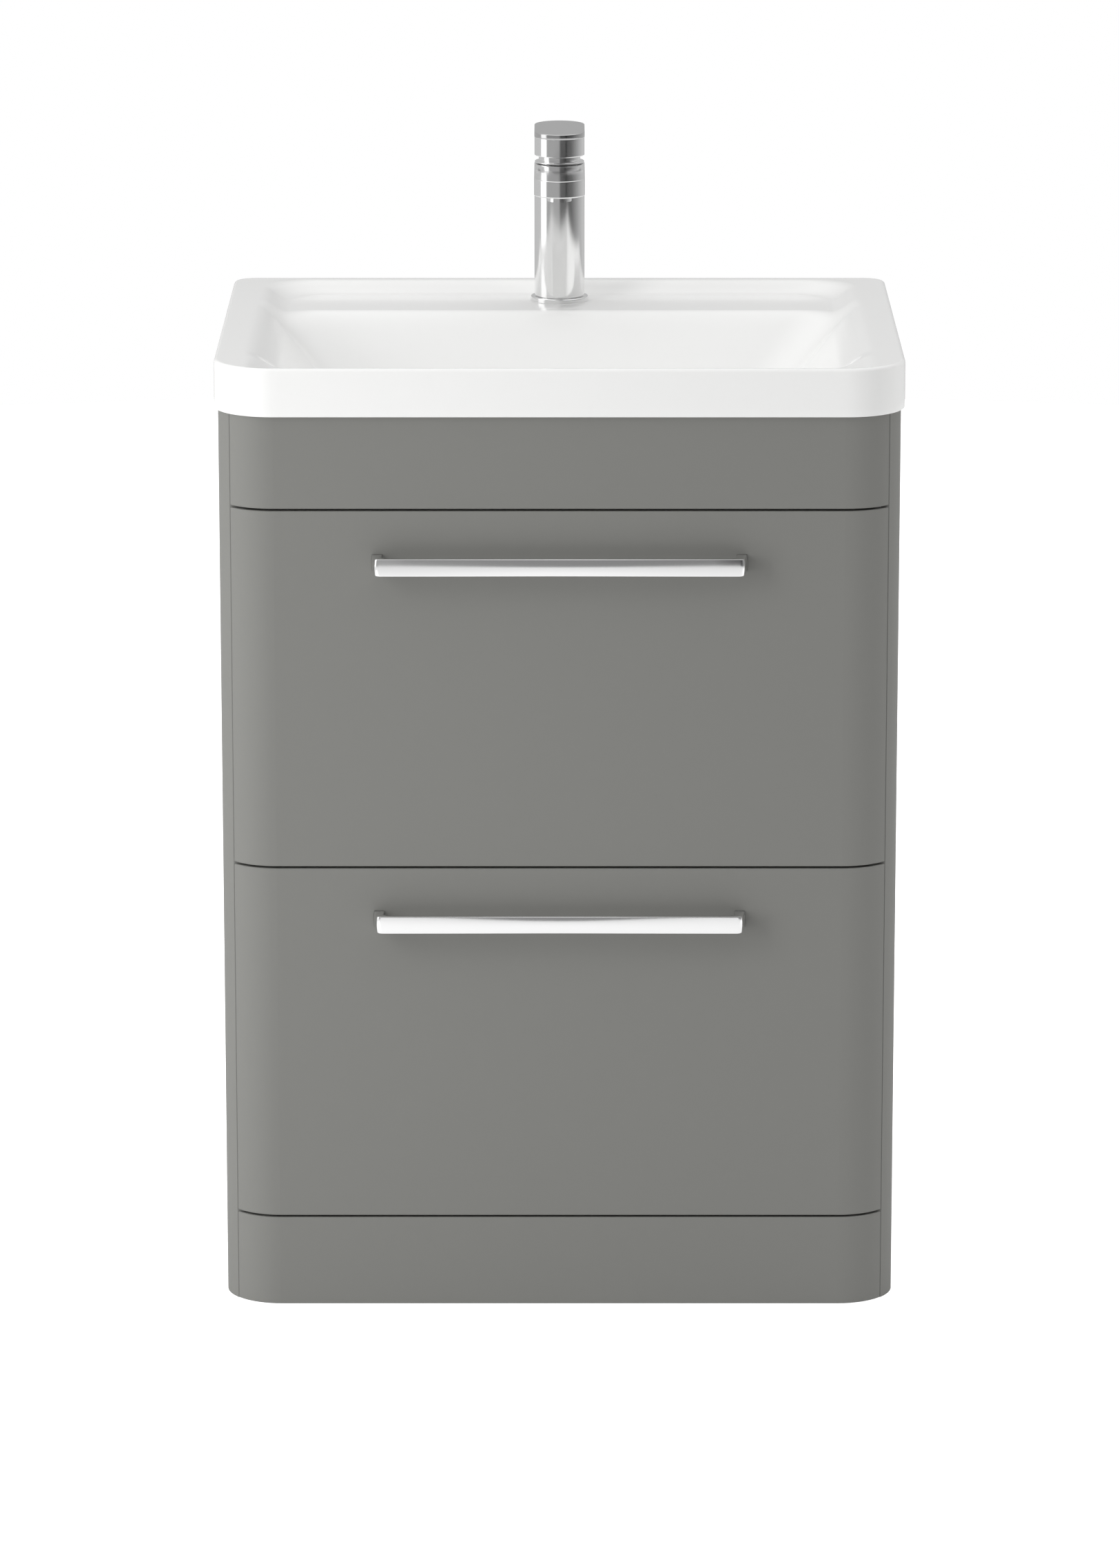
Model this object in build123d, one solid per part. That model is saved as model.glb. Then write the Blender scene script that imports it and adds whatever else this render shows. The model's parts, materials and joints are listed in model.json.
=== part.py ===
from build123d import *
import os

# Floor-standing bathroom vanity: a cabinet with two drawers, a ceramic basin and a lever mixer tap.
# Millimetres, +Z up, the front faces -Y. The origin is on the floor, in the middle of the part.

# Cabinet
CABINET_WIDTH = 600.0
CABINET_DEPTH = 470.0  # outer face of the fronts to the wall
CARCASS_HEIGHT = 810.0  # floor to the underside of the basin
BOARD = 18.0
CORNER_RADIUS = 50.0  # of both front corners in plan
PLINTH_HEIGHT = 81.0
FASCIA_HEIGHT = 82.0
FRONT_GAP = 2.0  # between one front and the next
FRONT_REVEAL = 1.0  # between the fronts and the side panels
EDGE_ROUNDING = 0.6
RAIL_DEPTH = 60.0
REAR_RAIL_HEIGHT = 100.0
WALL_HOLE_RADIUS = 4.5
WALL_HOLE_INSET = 100.0  # from the outer side face
WALL_HOLE_DROP = 45.0  # below the carcass top

# Drawer boxes
BOX_SIDE = 15.0
BOX_BOTTOM = 10.0
LOWER_BOX_HEIGHT = 210.0
UPPER_BOX_HEIGHT = 150.0
BOX_CLEARANCE = 14.0  # above the board below the box
BOX_REAR_SPACE = 42.0
CUT_OUT_HALF_WIDTH = 95.0  # of the space that the upper box leaves round the waste pipe
CUT_OUT_BOARD = 12.0
CUT_OUT_REACH = 85.0  # ahead of the waste's axis

# Ball-bearing runners
RUNNER_SPACE = 13.0  # side panel to drawer box
RUNNER_HEIGHT = 45.0
RUNNER_SHEET = 1.2
RUNNER_BALL_GAP = 1.8
RUNNER_FRONT_SPACE = 3.0
RUNNER_REAR_SPACE = 48.0
RUNNER_LIFT = 75.0  # runner's centre above the box's underside

# Bar handles
HANDLE_CENTRES = 320.0
HANDLE_PROJECTION = 23.0
HANDLE_HEIGHT = 15.3
HANDLE_STRAP = 4.0
HANDLE_FOOT = 10.0
HANDLE_TAPER = 3.0  # each end leans in by this from foot to strap
HANDLE_OUTER_RADIUS = 5.0
HANDLE_INNER_RADIUS = 9.0
HANDLE_DROP = 45.9  # below the top of its drawer front
SCREW_RADIUS = 2.0
SCREW_HEAD_RADIUS = 4.0
SCREW_HEAD = 2.5
SCREW_GRIP = 11.0  # length inside the handle's foot
THREAD_CLEARANCE = 0.05
HOLE_CLEARANCE = 0.25

# Basin
BASIN_HEIGHT = 43.0
BASIN_SIDE_OVERHANG = 3.3
BASIN_FRONT_OVERHANG = 4.0
BASIN_BACK_RADIUS = 20.0
BASIN_EDGE_RADIUS = 3.5
BASIN_WALL = 10.0
BASIN_SKIRT = 18.0
SIDE_LAND = 37.3
FRONT_LAND = 54.0
BACK_LAND = 20.0
BOWL_CORNER_RADIUS = 42.0
LEDGE_DROP = 10.0
LEDGE_DEPTH = 100.0  # back edge of the bowl to the back of the recess
BOWL_DEPTH = 120.0  # rim to floor
BOWL_SIDE_SLOPE = 108.0  # how far each side comes in from rim to floor
BOWL_BACK_SLOPE = 106.0
BOWL_FRONT_SLOPE = 40.0
BOWL_FLOOR_RADIUS = 24.0
BOWL_LIP_RADIUS = 6.0

# Basin waste
WASTE_RADIUS = 20.95  # G1 1/4 thread
WASTE_BORE_RADIUS = 17.0
WASTE_TAIL = 75.0
WASTE_GROOVE = 2.0  # below the back nut, where its thread ends
WASTE_GROOVE_DEPTH = 1.0
WASTE_FLANGE_RADIUS = 32.0
WASTE_FLANGE = 3.0
WASTE_HOLE_RADIUS = 23.0
WASTE_NUT_RADIUS = 29.0
WASTE_NUT = 10.0
WASHER_THICKNESS = 4.0
PLUG_RADIUS = 28.5
PLUG_THICKNESS = 3.5
PLUG_GAP = 1.0
PLUG_STEM_RADIUS = 4.0
PLUG_STEM_LENGTH = 44.0
GUIDE_HEIGHT = 6.0
GUIDE_RADIUS = 8.0
MOVING_CLEARANCE = 0.3

# Tap
TAP_BACK_SPACE = 64.2  # tap axis to the wall
TAP_HOLE_RADIUS = 17.5
TAP_RADIUS = 23.1
BASE_RING_RADIUS = 26.75
BASE_RING = 4.4
SEAM = 0.6  # the fine dark grooves between the tap's pieces
FOOT_POCKET = 8.0  # hollow under the column, below the inlets and the stud's thread
FOOT_POCKET_RADIUS = 17.0
TAP_BODY_HEIGHT = 123.8  # base ring to the top of the spout
SPOUT_THICKNESS = 15.6
SPOUT_REACH = 94.0  # tap axis to the middle of the spout's rounded end
AERATOR_RADIUS = 11.0
AERATOR_DROP = 5.2
AERATOR_THREAD = 8.0
AERATOR_BORE_RADIUS = 8.0
CARTRIDGE_RADIUS = 17.4
CARTRIDGE_HEIGHT = 28.0
COLLAR_RADIUS = 22.7
COLLAR_THICKNESS = 1.0
COLLAR_SPIGOT = 6.0  # of the collar inside the column, down to the cartridge
NECK_RADIUS = 19.1
NECK_HEIGHT = 5.4  # collar to the underside of the handle
NECK_DOME = 8.3  # of the neck above the underside of the handle
NECK_BORE_RADIUS = 12.5
KNOB_RADIUS = 23.0
KNOB_HEIGHT = 23.7
KNOB_POCKET_RADIUS = 20.0
KNOB_TOP = 6.4  # solid above the pocket
KNOB_BOSS_RADIUS = 8.0
KNOB_BOSS = 8.0
LEVER_THICKNESS = 4.8
LEVER_REACH = 46.5
LEVER_EDGE_RADIUS = 0.5
SPINDLE_WIDTH = 8.0
SPINDLE_DEPTH = 6.0
SPINDLE_FOOT = 2.9  # below the pivot
PIVOT_RADIUS = 1.5
LUG_WIDTH = 4.0
YOKE_THICKNESS = 4.0
GRUB_RADIUS = 1.5
GRUB_RISE = 14.8  # above the underside of the knob
STUD_RADIUS = 4.0
STUD_LENGTH = 85.0
STUD_GRIP = 12.0
STUD_OFFSET = 9.0
STUD_NUT_WIDTH = 13.0
STUD_NUT = 6.5
INLET_RADIUS = 4.5
INLET_DEPTH = 14.0
INLET_OFFSET_X = 7.5
INLET_OFFSET_Y = 4.0
CLAMP_RADIUS = 25.0
CLAMP_PLATE = 3.0

# Places that follow from the sizes
HALF_WIDTH = CABINET_WIDTH / 2
Y_FRONT = -(CABINET_DEPTH - HANDLE_PROJECTION) / 2
Y_BACK = Y_FRONT + CABINET_DEPTH
Y_FRONT_BACK = Y_FRONT + BOARD  # rear face of the fronts
Y_CARCASS = Y_FRONT_BACK + FRONT_REVEAL
SIDE_X = HALF_WIDTH - BOARD  # inner faces of the side panels
FASCIA_Z = CARCASS_HEIGHT - FASCIA_HEIGHT
DRAWER_FRONT_HEIGHT = (FASCIA_Z - PLINTH_HEIGHT - 3 * FRONT_GAP) / 2
LOWER_FRONT_Z = PLINTH_HEIGHT + FRONT_GAP
UPPER_FRONT_Z = LOWER_FRONT_Z + DRAWER_FRONT_HEIGHT + FRONT_GAP
MIDDLE_RAIL_Z = UPPER_FRONT_Z - FRONT_GAP / 2 - BOARD / 2
LOWER_BOX_Z = PLINTH_HEIGHT + BOX_CLEARANCE
UPPER_BOX_Z = MIDDLE_RAIL_Z + BOARD + BOX_CLEARANCE
BOX_X = SIDE_X - RUNNER_SPACE  # outer faces of the drawer boxes
BOX_INNER_X = BOX_X - BOX_SIDE
Y_BOX_BACK = Y_BACK - BOX_REAR_SPACE
Y_RUNNER = Y_CARCASS + RUNNER_FRONT_SPACE
Y_RUNNER_END = Y_BACK - RUNNER_REAR_SPACE

BASIN_X = HALF_WIDTH + BASIN_SIDE_OVERHANG
Y_BASIN = Y_FRONT - BASIN_FRONT_OVERHANG
RIM_Z = CARCASS_HEIGHT + BASIN_HEIGHT
LEDGE_Z = RIM_Z - LEDGE_DROP
FLOOR_Z = RIM_Z - BOWL_DEPTH
RECESS_X = BASIN_X - SIDE_LAND
Y_RECESS = Y_BASIN + FRONT_LAND
Y_RECESS_BACK = Y_BACK - BACK_LAND
Y_BOWL_BACK = Y_RECESS_BACK - LEDGE_DEPTH
FLOOR_X = RECESS_X - BOWL_SIDE_SLOPE
Y_FLOOR = Y_RECESS + BOWL_FRONT_SLOPE
Y_FLOOR_BACK = Y_BOWL_BACK - BOWL_BACK_SLOPE
Y_WASTE = (Y_FLOOR + Y_FLOOR_BACK) / 2
WASTE_SEAT_Z = FLOOR_Z - WASTE_FLANGE + EDGE_ROUNDING
UNDER_BOWL_Z = FLOOR_Z - BASIN_WALL - WASTE_FLANGE
CUT_OUT_Y = Y_WASTE - CUT_OUT_REACH

TAP_Y = Y_BACK - TAP_BACK_SPACE
RING_TOP_Z = LEDGE_Z + BASE_RING
INLET_Z = RING_TOP_Z + FOOT_POCKET  # mouths of the inlets and of the stud's hole
SPOUT_TOP_Z = RING_TOP_Z + TAP_BODY_HEIGHT
SPOUT_Z = SPOUT_TOP_Z - SPOUT_THICKNESS
COLLAR_Z = SPOUT_TOP_Z + SEAM
NECK_Z = COLLAR_Z + COLLAR_THICKNESS
KNOB_Z = NECK_Z + NECK_HEIGHT
PIVOT_Z = NECK_Z + NECK_HEIGHT / 2
KNOB_TOP_Z = KNOB_Z + KNOB_HEIGHT
CARTRIDGE_TOP_Z = SPOUT_TOP_Z - COLLAR_SPIGOT
LEDGE_UNDER_Z = LEDGE_Z - BASIN_WALL


def block(x0, x1, y0, y1, z0, z1):
    """A box between two corners."""
    centre = Pos((x0 + x1) / 2, (y0 + y1) / 2, (z0 + z1) / 2)
    return centre * Box(x1 - x0, y1 - y0, z1 - z0)


def upright(radius, z0, z1, x=0.0, y=0.0):
    """A vertical cylinder between two heights."""
    return Pos(x, y, (z0 + z1) / 2) * Cylinder(radius, z1 - z0)


def along_y(radius, y0, y1, x, z):
    """A cylinder along Y between two depths."""
    return Pos(x, (y0 + y1) / 2, z) * Rot(90, 0, 0) * Cylinder(radius, y1 - y0)


def along_x(radius, x0, x1, y, z):
    """A cylinder along X."""
    return Pos((x0 + x1) / 2, y, z) * Rot(0, 90, 0) * Cylinder(radius, x1 - x0)


def tube(outer, inner, z0, z1, x=0.0, y=0.0):
    """A vertical ring."""
    return upright(outer, z0, z1, x, y) - upright(inner, z0 - 1, z1 + 1, x, y)


def rounded_outline(x_half, y0, y1, z, front_radius, back_radius):
    """A rectangle in plan, its two front and its two back corners rounded."""
    outline = Pos(0, (y0 + y1) / 2, z) * Rectangle(2 * x_half, y1 - y0)
    corners = outline.vertices().sort_by(Axis.Y)
    outline = fillet(corners[:2], front_radius)
    if back_radius > 0:
        square = [v for v in outline.vertices() if abs(v.Y - y1) < 1e-6]
        outline = fillet(square, back_radius)
    return outline


def front_panel(z0, z1):
    """A board across the front whose ends follow the cabinet's rounded corners."""
    plan = rounded_outline(HALF_WIDTH, Y_FRONT, Y_BACK, z0, CORNER_RADIUS, 0)
    whole = extrude(plan, z1 - z0)
    rims = whole.edges().filter_by(Axis.Z, reverse=True)
    whole = chamfer(rims, EDGE_ROUNDING)
    return whole & block(-HALF_WIDTH, HALF_WIDTH, Y_FRONT, Y_FRONT_BACK, z0, z1)


def side_panel(side):
    """A side board whose front outer corner continues the rounded corner."""
    plan = rounded_outline(HALF_WIDTH, Y_FRONT, Y_BACK, 0, CORNER_RADIUS, 0)
    whole = extrude(plan, CARCASS_HEIGHT)
    near, far = sorted((side * SIDE_X, side * HALF_WIDTH))
    return whole & block(near, far, Y_CARCASS, Y_BACK, 0, CARCASS_HEIGHT)


def cross_rail(y0, y1, z0, z1):
    """A board from one side panel to the other."""
    return block(-SIDE_X, SIDE_X, y0, y1, z0, z1)


def wall_rail():
    """The upper rear rail, with its two wall-fixing holes."""
    rail = cross_rail(Y_BACK - BOARD, Y_BACK, CARCASS_HEIGHT - REAR_RAIL_HEIGHT, CARCASS_HEIGHT)
    for side in (-1, 1):
        x = side * (HALF_WIDTH - WALL_HOLE_INSET)
        z = CARCASS_HEIGHT - WALL_HOLE_DROP
        rail -= along_y(WALL_HOLE_RADIUS, Y_BACK - BOARD - 1, Y_BACK + 1, x, z)
    return rail


def carcass():
    """Every fixed board of the cabinet."""
    rear = Y_BACK - BOARD
    return {
        "side_panel_left": side_panel(-1),
        "side_panel_right": side_panel(1),
        "plinth_panel": front_panel(0, PLINTH_HEIGHT),
        "top_fascia": front_panel(FASCIA_Z, CARCASS_HEIGHT),
        "base_panel": cross_rail(Y_CARCASS, Y_BACK, PLINTH_HEIGHT - BOARD, PLINTH_HEIGHT),
        "plinth_rail": cross_rail(Y_FRONT_BACK, Y_FRONT_BACK + BOARD, 0, PLINTH_HEIGHT - BOARD),
        "middle_rail": cross_rail(
            Y_CARCASS, Y_CARCASS + RAIL_DEPTH, MIDDLE_RAIL_Z, MIDDLE_RAIL_Z + BOARD
        ),
        "top_front_rail": cross_rail(Y_FRONT_BACK, Y_FRONT_BACK + BOARD, FASCIA_Z, CARCASS_HEIGHT),
        "wall_rail": wall_rail(),
        "lower_rear_rail": cross_rail(rear, Y_BACK, PLINTH_HEIGHT, PLINTH_HEIGHT + REAR_RAIL_HEIGHT),
    }


def channel(side, web_x, flange_x, half_height, z):
    """One pressed member of a runner: a C section with its web at web_x, open towards flange_x."""
    inward = 1 if flange_x > web_x else -1
    x0, x1 = sorted((side * web_x, side * flange_x))
    section = block(x0, x1, Y_RUNNER, Y_RUNNER_END, z - half_height, z + half_height)
    h0, h1 = sorted((side * (web_x + inward * RUNNER_SHEET), side * (flange_x + inward)))
    inner = half_height - RUNNER_SHEET
    return section - block(h0, h1, Y_RUNNER - 1, Y_RUNNER_END + 1, z - inner, z + inner)


def runners(level, box_z):
    """The three telescoping members on each side of one drawer."""
    z = box_z + RUNNER_LIFT
    step = RUNNER_SHEET + RUNNER_BALL_GAP
    outer = RUNNER_HEIGHT / 2
    reach = SIDE_X - RUNNER_SPACE + RUNNER_SHEET  # outer face of the drawer member's web
    parts = {}
    for name, side in (("left", -1), ("right", 1)):
        middle_web = SIDE_X - RUNNER_SHEET - MOVING_CLEARANCE * 2
        middle_edge = reach + MOVING_CLEARANCE
        drawer_edge = middle_web - RUNNER_SHEET - MOVING_CLEARANCE * 2
        parts[f"{level}_runner_cabinet_{name}"] = channel(side, SIDE_X, middle_edge + 1, outer, z)
        parts[f"{level}_runner_middle_{name}"] = channel(side, middle_web, middle_edge, outer - step, z)
        parts[f"{level}_runner_drawer_{name}"] = channel(side, BOX_X, drawer_edge, outer - 2 * step, z)
    return parts


def drawer_front(z0):
    """A drawer's front board with the two holes of its handle's screws."""
    front = front_panel(z0, z0 + DRAWER_FRONT_HEIGHT)
    z = z0 + DRAWER_FRONT_HEIGHT - HANDLE_DROP
    for side in (-1, 1):
        x = side * HANDLE_CENTRES / 2
        front -= along_y(SCREW_RADIUS + HOLE_CLEARANCE, Y_FRONT - 1, Y_FRONT_BACK + 1, x, z)
    return front


def handle(z0):
    """A flat strap handle with a leg at each end, made from its outline in plan."""
    z = z0 + DRAWER_FRONT_HEIGHT - HANDLE_DROP
    foot = HANDLE_CENTRES / 2 + HANDLE_FOOT / 2
    front = foot - HANDLE_TAPER
    inner_foot = foot - HANDLE_FOOT
    tip = Y_FRONT - HANDLE_PROJECTION
    back = tip + HANDLE_STRAP
    inner_front = front - HANDLE_STRAP
    half = [(foot, Y_FRONT), (front, tip)]
    mirrored = [(-front, tip), (-foot, Y_FRONT), (-inner_foot, Y_FRONT), (-inner_front, back)]
    outline = Polyline(half + mirrored + [(inner_front, back), (inner_foot, Y_FRONT)], close=True)
    face = make_face(outline)
    outer = [v for v in face.vertices() if abs(v.Y - tip) < 1e-6]
    face = fillet(outer, HANDLE_OUTER_RADIUS)
    inner = [v for v in face.vertices() if abs(v.Y - back) < 1e-6]
    face = fillet(inner, HANDLE_INNER_RADIUS)
    bar = extrude(Pos(0, 0, z - HANDLE_HEIGHT / 2) * face, HANDLE_HEIGHT)
    ends = bar.edges().filter_by(lambda e: abs(abs(e.center().Z - z) - HANDLE_HEIGHT / 2) < 1e-6)
    shown = ends.filter_by(lambda e: e.center().Y < Y_FRONT - 1e-3)
    bar = fillet(shown, EDGE_ROUNDING)
    for side in (-1, 1):
        x = side * HANDLE_CENTRES / 2
        depth = Y_FRONT - SCREW_GRIP - MOVING_CLEARANCE
        bar -= along_y(SCREW_RADIUS + THREAD_CLEARANCE, depth, Y_FRONT + 1, x, z)
    return bar


def handle_screws(z0):
    """The handle's two screws, heads on the inside of the drawer front."""
    z = z0 + DRAWER_FRONT_HEIGHT - HANDLE_DROP
    screws = []
    for side in (-1, 1):
        x = side * HANDLE_CENTRES / 2
        shank = along_y(SCREW_RADIUS, Y_FRONT - SCREW_GRIP, Y_FRONT_BACK + SCREW_HEAD / 2, x, z)
        head = along_y(SCREW_HEAD_RADIUS, Y_FRONT_BACK, Y_FRONT_BACK + SCREW_HEAD, x, z)
        screws.append(shank + head)
    return Compound(children=screws)


def box_sides(level, z0, height):
    """The two side boards of a drawer box."""
    parts = {}
    for name, side in (("left", -1), ("right", 1)):
        x0, x1 = sorted((side * BOX_INNER_X, side * BOX_X))
        parts[f"{level}_box_side_{name}"] = block(x0, x1, Y_FRONT_BACK, Y_BOX_BACK, z0, z0 + height)
    return parts


def drawer(level, z0, box_z, box_height):
    """What the two drawers have in common."""
    parts = {
        f"{level}_drawer_front": drawer_front(z0),
        f"{level}_handle": handle(z0),
        f"{level}_handle_screws": handle_screws(z0),
    }
    parts.update(box_sides(level, box_z, box_height))
    parts.update(runners(level, box_z))
    return parts


def lower_drawer():
    """The lower drawer, with a plain box."""
    parts = drawer("lower", LOWER_FRONT_Z, LOWER_BOX_Z, LOWER_BOX_HEIGHT)
    y_back = Y_BOX_BACK - BOX_SIDE
    top = LOWER_BOX_Z + LOWER_BOX_HEIGHT
    shelf = LOWER_BOX_Z + BOX_BOTTOM
    parts["lower_box_bottom"] = block(
        -BOX_INNER_X, BOX_INNER_X, Y_FRONT_BACK, Y_BOX_BACK, LOWER_BOX_Z, shelf
    )
    parts["lower_box_back"] = block(-BOX_INNER_X, BOX_INNER_X, y_back, Y_BOX_BACK, shelf, top)
    return parts


def upper_drawer():
    """The upper drawer, whose box is cut out at the rear round the waste pipe."""
    parts = drawer("upper", UPPER_FRONT_Z, UPPER_BOX_Z, UPPER_BOX_HEIGHT)
    y_back = Y_BOX_BACK - BOX_SIDE
    top = UPPER_BOX_Z + UPPER_BOX_HEIGHT
    shelf = UPPER_BOX_Z + BOX_BOTTOM
    inner = CUT_OUT_HALF_WIDTH
    outer = CUT_OUT_HALF_WIDTH + CUT_OUT_BOARD
    bottom = block(-BOX_INNER_X, BOX_INNER_X, Y_FRONT_BACK, Y_BOX_BACK, UPPER_BOX_Z, shelf)
    bottom -= block(-inner, inner, CUT_OUT_Y, Y_BOX_BACK + 1, UPPER_BOX_Z - 1, shelf + 1)
    parts["upper_box_bottom"] = bottom
    parts["upper_cut_out_front"] = block(
        -outer, outer, CUT_OUT_Y - CUT_OUT_BOARD, CUT_OUT_Y, shelf, top
    )
    for name, side in (("left", -1), ("right", 1)):
        x0, x1 = sorted((side * inner, side * outer))
        parts[f"upper_cut_out_{name}"] = block(x0, x1, CUT_OUT_Y, Y_BOX_BACK, shelf, top)
        x0, x1 = sorted((side * outer, side * BOX_INNER_X))
        parts[f"upper_box_back_{name}"] = block(x0, x1, y_back, Y_BOX_BACK, shelf, top)
    return parts


def bowl_shape(wall):
    """The bowl from rim to floor: inside at wall 0, outside at the basin's wall thickness."""
    rim = rounded_outline(
        RECESS_X + wall,
        Y_RECESS - wall,
        Y_BOWL_BACK + wall,
        RIM_Z,
        BOWL_CORNER_RADIUS + wall,
        BOWL_CORNER_RADIUS + wall,
    )
    foot_z = FLOOR_Z - (wall + WASTE_FLANGE if wall else 0)
    floor = rounded_outline(
        FLOOR_X + wall,
        Y_FLOOR - wall,
        Y_FLOOR_BACK + wall,
        foot_z,
        BOWL_CORNER_RADIUS + wall,
        BOWL_CORNER_RADIUS + wall,
    )
    shape = loft([rim, floor], ruled=True)
    edge = shape.faces().sort_by(Axis.Z)[0].outer_wire().edges()
    return fillet(edge, BOWL_FLOOR_RADIUS)


def ledge_pocket():
    """The shallow sunk ledge behind the bowl; its side walls lie in the planes of the bowl's."""
    slope = BOWL_SIDE_SLOPE / BOWL_DEPTH
    y_front = Y_BOWL_BACK - 2 * BOWL_CORNER_RADIUS
    levels = []
    for drop in (0, LEDGE_DROP):
        x_half = RECESS_X - slope * drop
        y_back = Y_RECESS_BACK - slope * drop
        levels.append(rounded_outline(x_half, y_front, y_back, RIM_Z - drop, 1, BOWL_CORNER_RADIUS))
    return loft(levels, ruled=True)


def basin():
    """The ceramic basin: a rounded slab, hollow underneath, with the bowl and the tap ledge sunk in it."""
    outline = rounded_outline(
        BASIN_X, Y_BASIN, Y_BACK, CARCASS_HEIGHT, CORNER_RADIUS + BASIN_SIDE_OVERHANG, BASIN_BACK_RADIUS
    )
    slab = extrude(outline, BASIN_HEIGHT)
    slab = fillet(slab.faces().sort_by(Axis.Z)[-1].outer_wire().edges(), BASIN_EDGE_RADIUS)
    skirt = offset(outline, -BASIN_SKIRT)
    body = slab - extrude(skirt, BASIN_HEIGHT - LEDGE_DROP - BASIN_WALL)
    body += bowl_shape(BASIN_WALL) & block(
        -BASIN_X, BASIN_X, Y_BASIN, Y_BACK, 0, LEDGE_Z - BASIN_WALL / 2
    )
    body -= bowl_shape(0) + ledge_pocket()
    rim = body.faces().filter_by(Plane.XY).sort_by(Axis.Z)[-1]
    body = fillet(rim.inner_wires()[0].edges(), BOWL_LIP_RADIUS)
    body -= upright(TAP_HOLE_RADIUS, LEDGE_UNDER_Z - 5, LEDGE_Z + 1, 0, TAP_Y)
    body -= upright(WASTE_HOLE_RADIUS, UNDER_BOWL_Z - 1, FLOOR_Z + 1, 0, Y_WASTE)
    seat_radius = WASTE_FLANGE_RADIUS + MOVING_CLEARANCE
    body -= upright(seat_radius, WASTE_SEAT_Z, RIM_Z, 0, Y_WASTE)
    return body


def waste():
    """The basin waste: flanged body, guide, sealing washer, nut and the push plug."""
    top = WASTE_SEAT_Z + WASTE_FLANGE
    bottom = WASTE_SEAT_Z - WASTE_TAIL
    body = upright(WASTE_FLANGE_RADIUS, WASTE_SEAT_Z, top, 0, Y_WASTE)
    body += upright(WASTE_RADIUS, bottom, WASTE_SEAT_Z + 1, 0, Y_WASTE)
    body -= upright(WASTE_BORE_RADIUS, bottom - 1, top + 1, 0, Y_WASTE)
    nut_z = UNDER_BOWL_Z - WASHER_THICKNESS - WASTE_NUT
    groove_radius = WASTE_RADIUS - WASTE_GROOVE_DEPTH
    body -= tube(WASTE_RADIUS + 1, groove_radius, nut_z - WASTE_GROOVE, nut_z, 0, Y_WASTE)
    guide_z = top - PLUG_STEM_LENGTH + GUIDE_HEIGHT
    bar = GUIDE_RADIUS / 2
    guide_top = guide_z + GUIDE_HEIGHT
    span = WASTE_BORE_RADIUS + 1
    spider = upright(GUIDE_RADIUS, guide_z, guide_top, 0, Y_WASTE)
    spider += block(-span, span, Y_WASTE - bar, Y_WASTE + bar, guide_z, guide_top)
    spider -= upright(PLUG_STEM_RADIUS + MOVING_CLEARANCE, guide_z - 1, guide_top + 1, 0, Y_WASTE)
    plug_z = top + PLUG_GAP
    plug = upright(PLUG_RADIUS, plug_z, plug_z + PLUG_THICKNESS, 0, Y_WASTE)
    plug = fillet(plug.edges().group_by(Axis.Z)[-1], PLUG_THICKNESS / 3)
    plug += upright(PLUG_STEM_RADIUS, top - PLUG_STEM_LENGTH, plug_z + 1, 0, Y_WASTE)
    hexagon = Pos(0, Y_WASTE, nut_z) * RegularPolygon(WASTE_NUT_RADIUS, 6)
    nut = extrude(hexagon, WASTE_NUT)
    nut -= upright(WASTE_RADIUS + THREAD_CLEARANCE, nut_z - 1, nut_z + WASTE_NUT + 1, 0, Y_WASTE)
    return {
        "waste_body": body + spider,
        "waste_washer": tube(
            WASTE_FLANGE_RADIUS,
            WASTE_RADIUS + THREAD_CLEARANCE,
            UNDER_BOWL_Z - WASHER_THICKNESS,
            UNDER_BOWL_Z,
            0,
            Y_WASTE,
        ),
        "waste_nut": nut,
        "waste_plug": plug,
    }


def stadium(reach, radius, z):
    """A bar's outline in plan: round about the tap's axis and about a point ahead of it."""
    back = Pos(0, TAP_Y, z) * Circle(radius)
    front = Pos(0, TAP_Y - reach, z) * Circle(radius)
    return back + front + Pos(0, TAP_Y - reach / 2, z) * Rectangle(2 * radius, reach)


def tap_body():
    """The tap's column with its flat spout, hollow foot, and bores for cartridge, aerator, stud and inlets."""
    foot_z = RING_TOP_Z + SEAM
    body = upright(TAP_RADIUS, foot_z, SPOUT_TOP_Z, 0, TAP_Y)
    body += upright(TAP_RADIUS - 1, RING_TOP_Z, foot_z + 1, 0, TAP_Y)
    body += extrude(stadium(SPOUT_REACH, TAP_RADIUS, SPOUT_Z), SPOUT_THICKNESS)
    cavity = CARTRIDGE_TOP_Z - CARTRIDGE_HEIGHT
    body -= upright(CARTRIDGE_RADIUS + THREAD_CLEARANCE, cavity, SPOUT_TOP_Z + 1, 0, TAP_Y)
    thread = SPOUT_Z + AERATOR_THREAD
    body -= upright(AERATOR_RADIUS + THREAD_CLEARANCE, SPOUT_Z - 1, thread, 0, TAP_Y - SPOUT_REACH)
    body -= upright(FOOT_POCKET_RADIUS, RING_TOP_Z - 1, INLET_Z, 0, TAP_Y)
    y = TAP_Y + STUD_OFFSET
    body -= upright(STUD_RADIUS + THREAD_CLEARANCE, INLET_Z - 1, INLET_Z + STUD_GRIP, 0, y)
    for side in (-1, 1):
        x = side * INLET_OFFSET_X
        body -= upright(INLET_RADIUS, INLET_Z - 1, INLET_Z + INLET_DEPTH, x, TAP_Y - INLET_OFFSET_Y)
    return body


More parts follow.
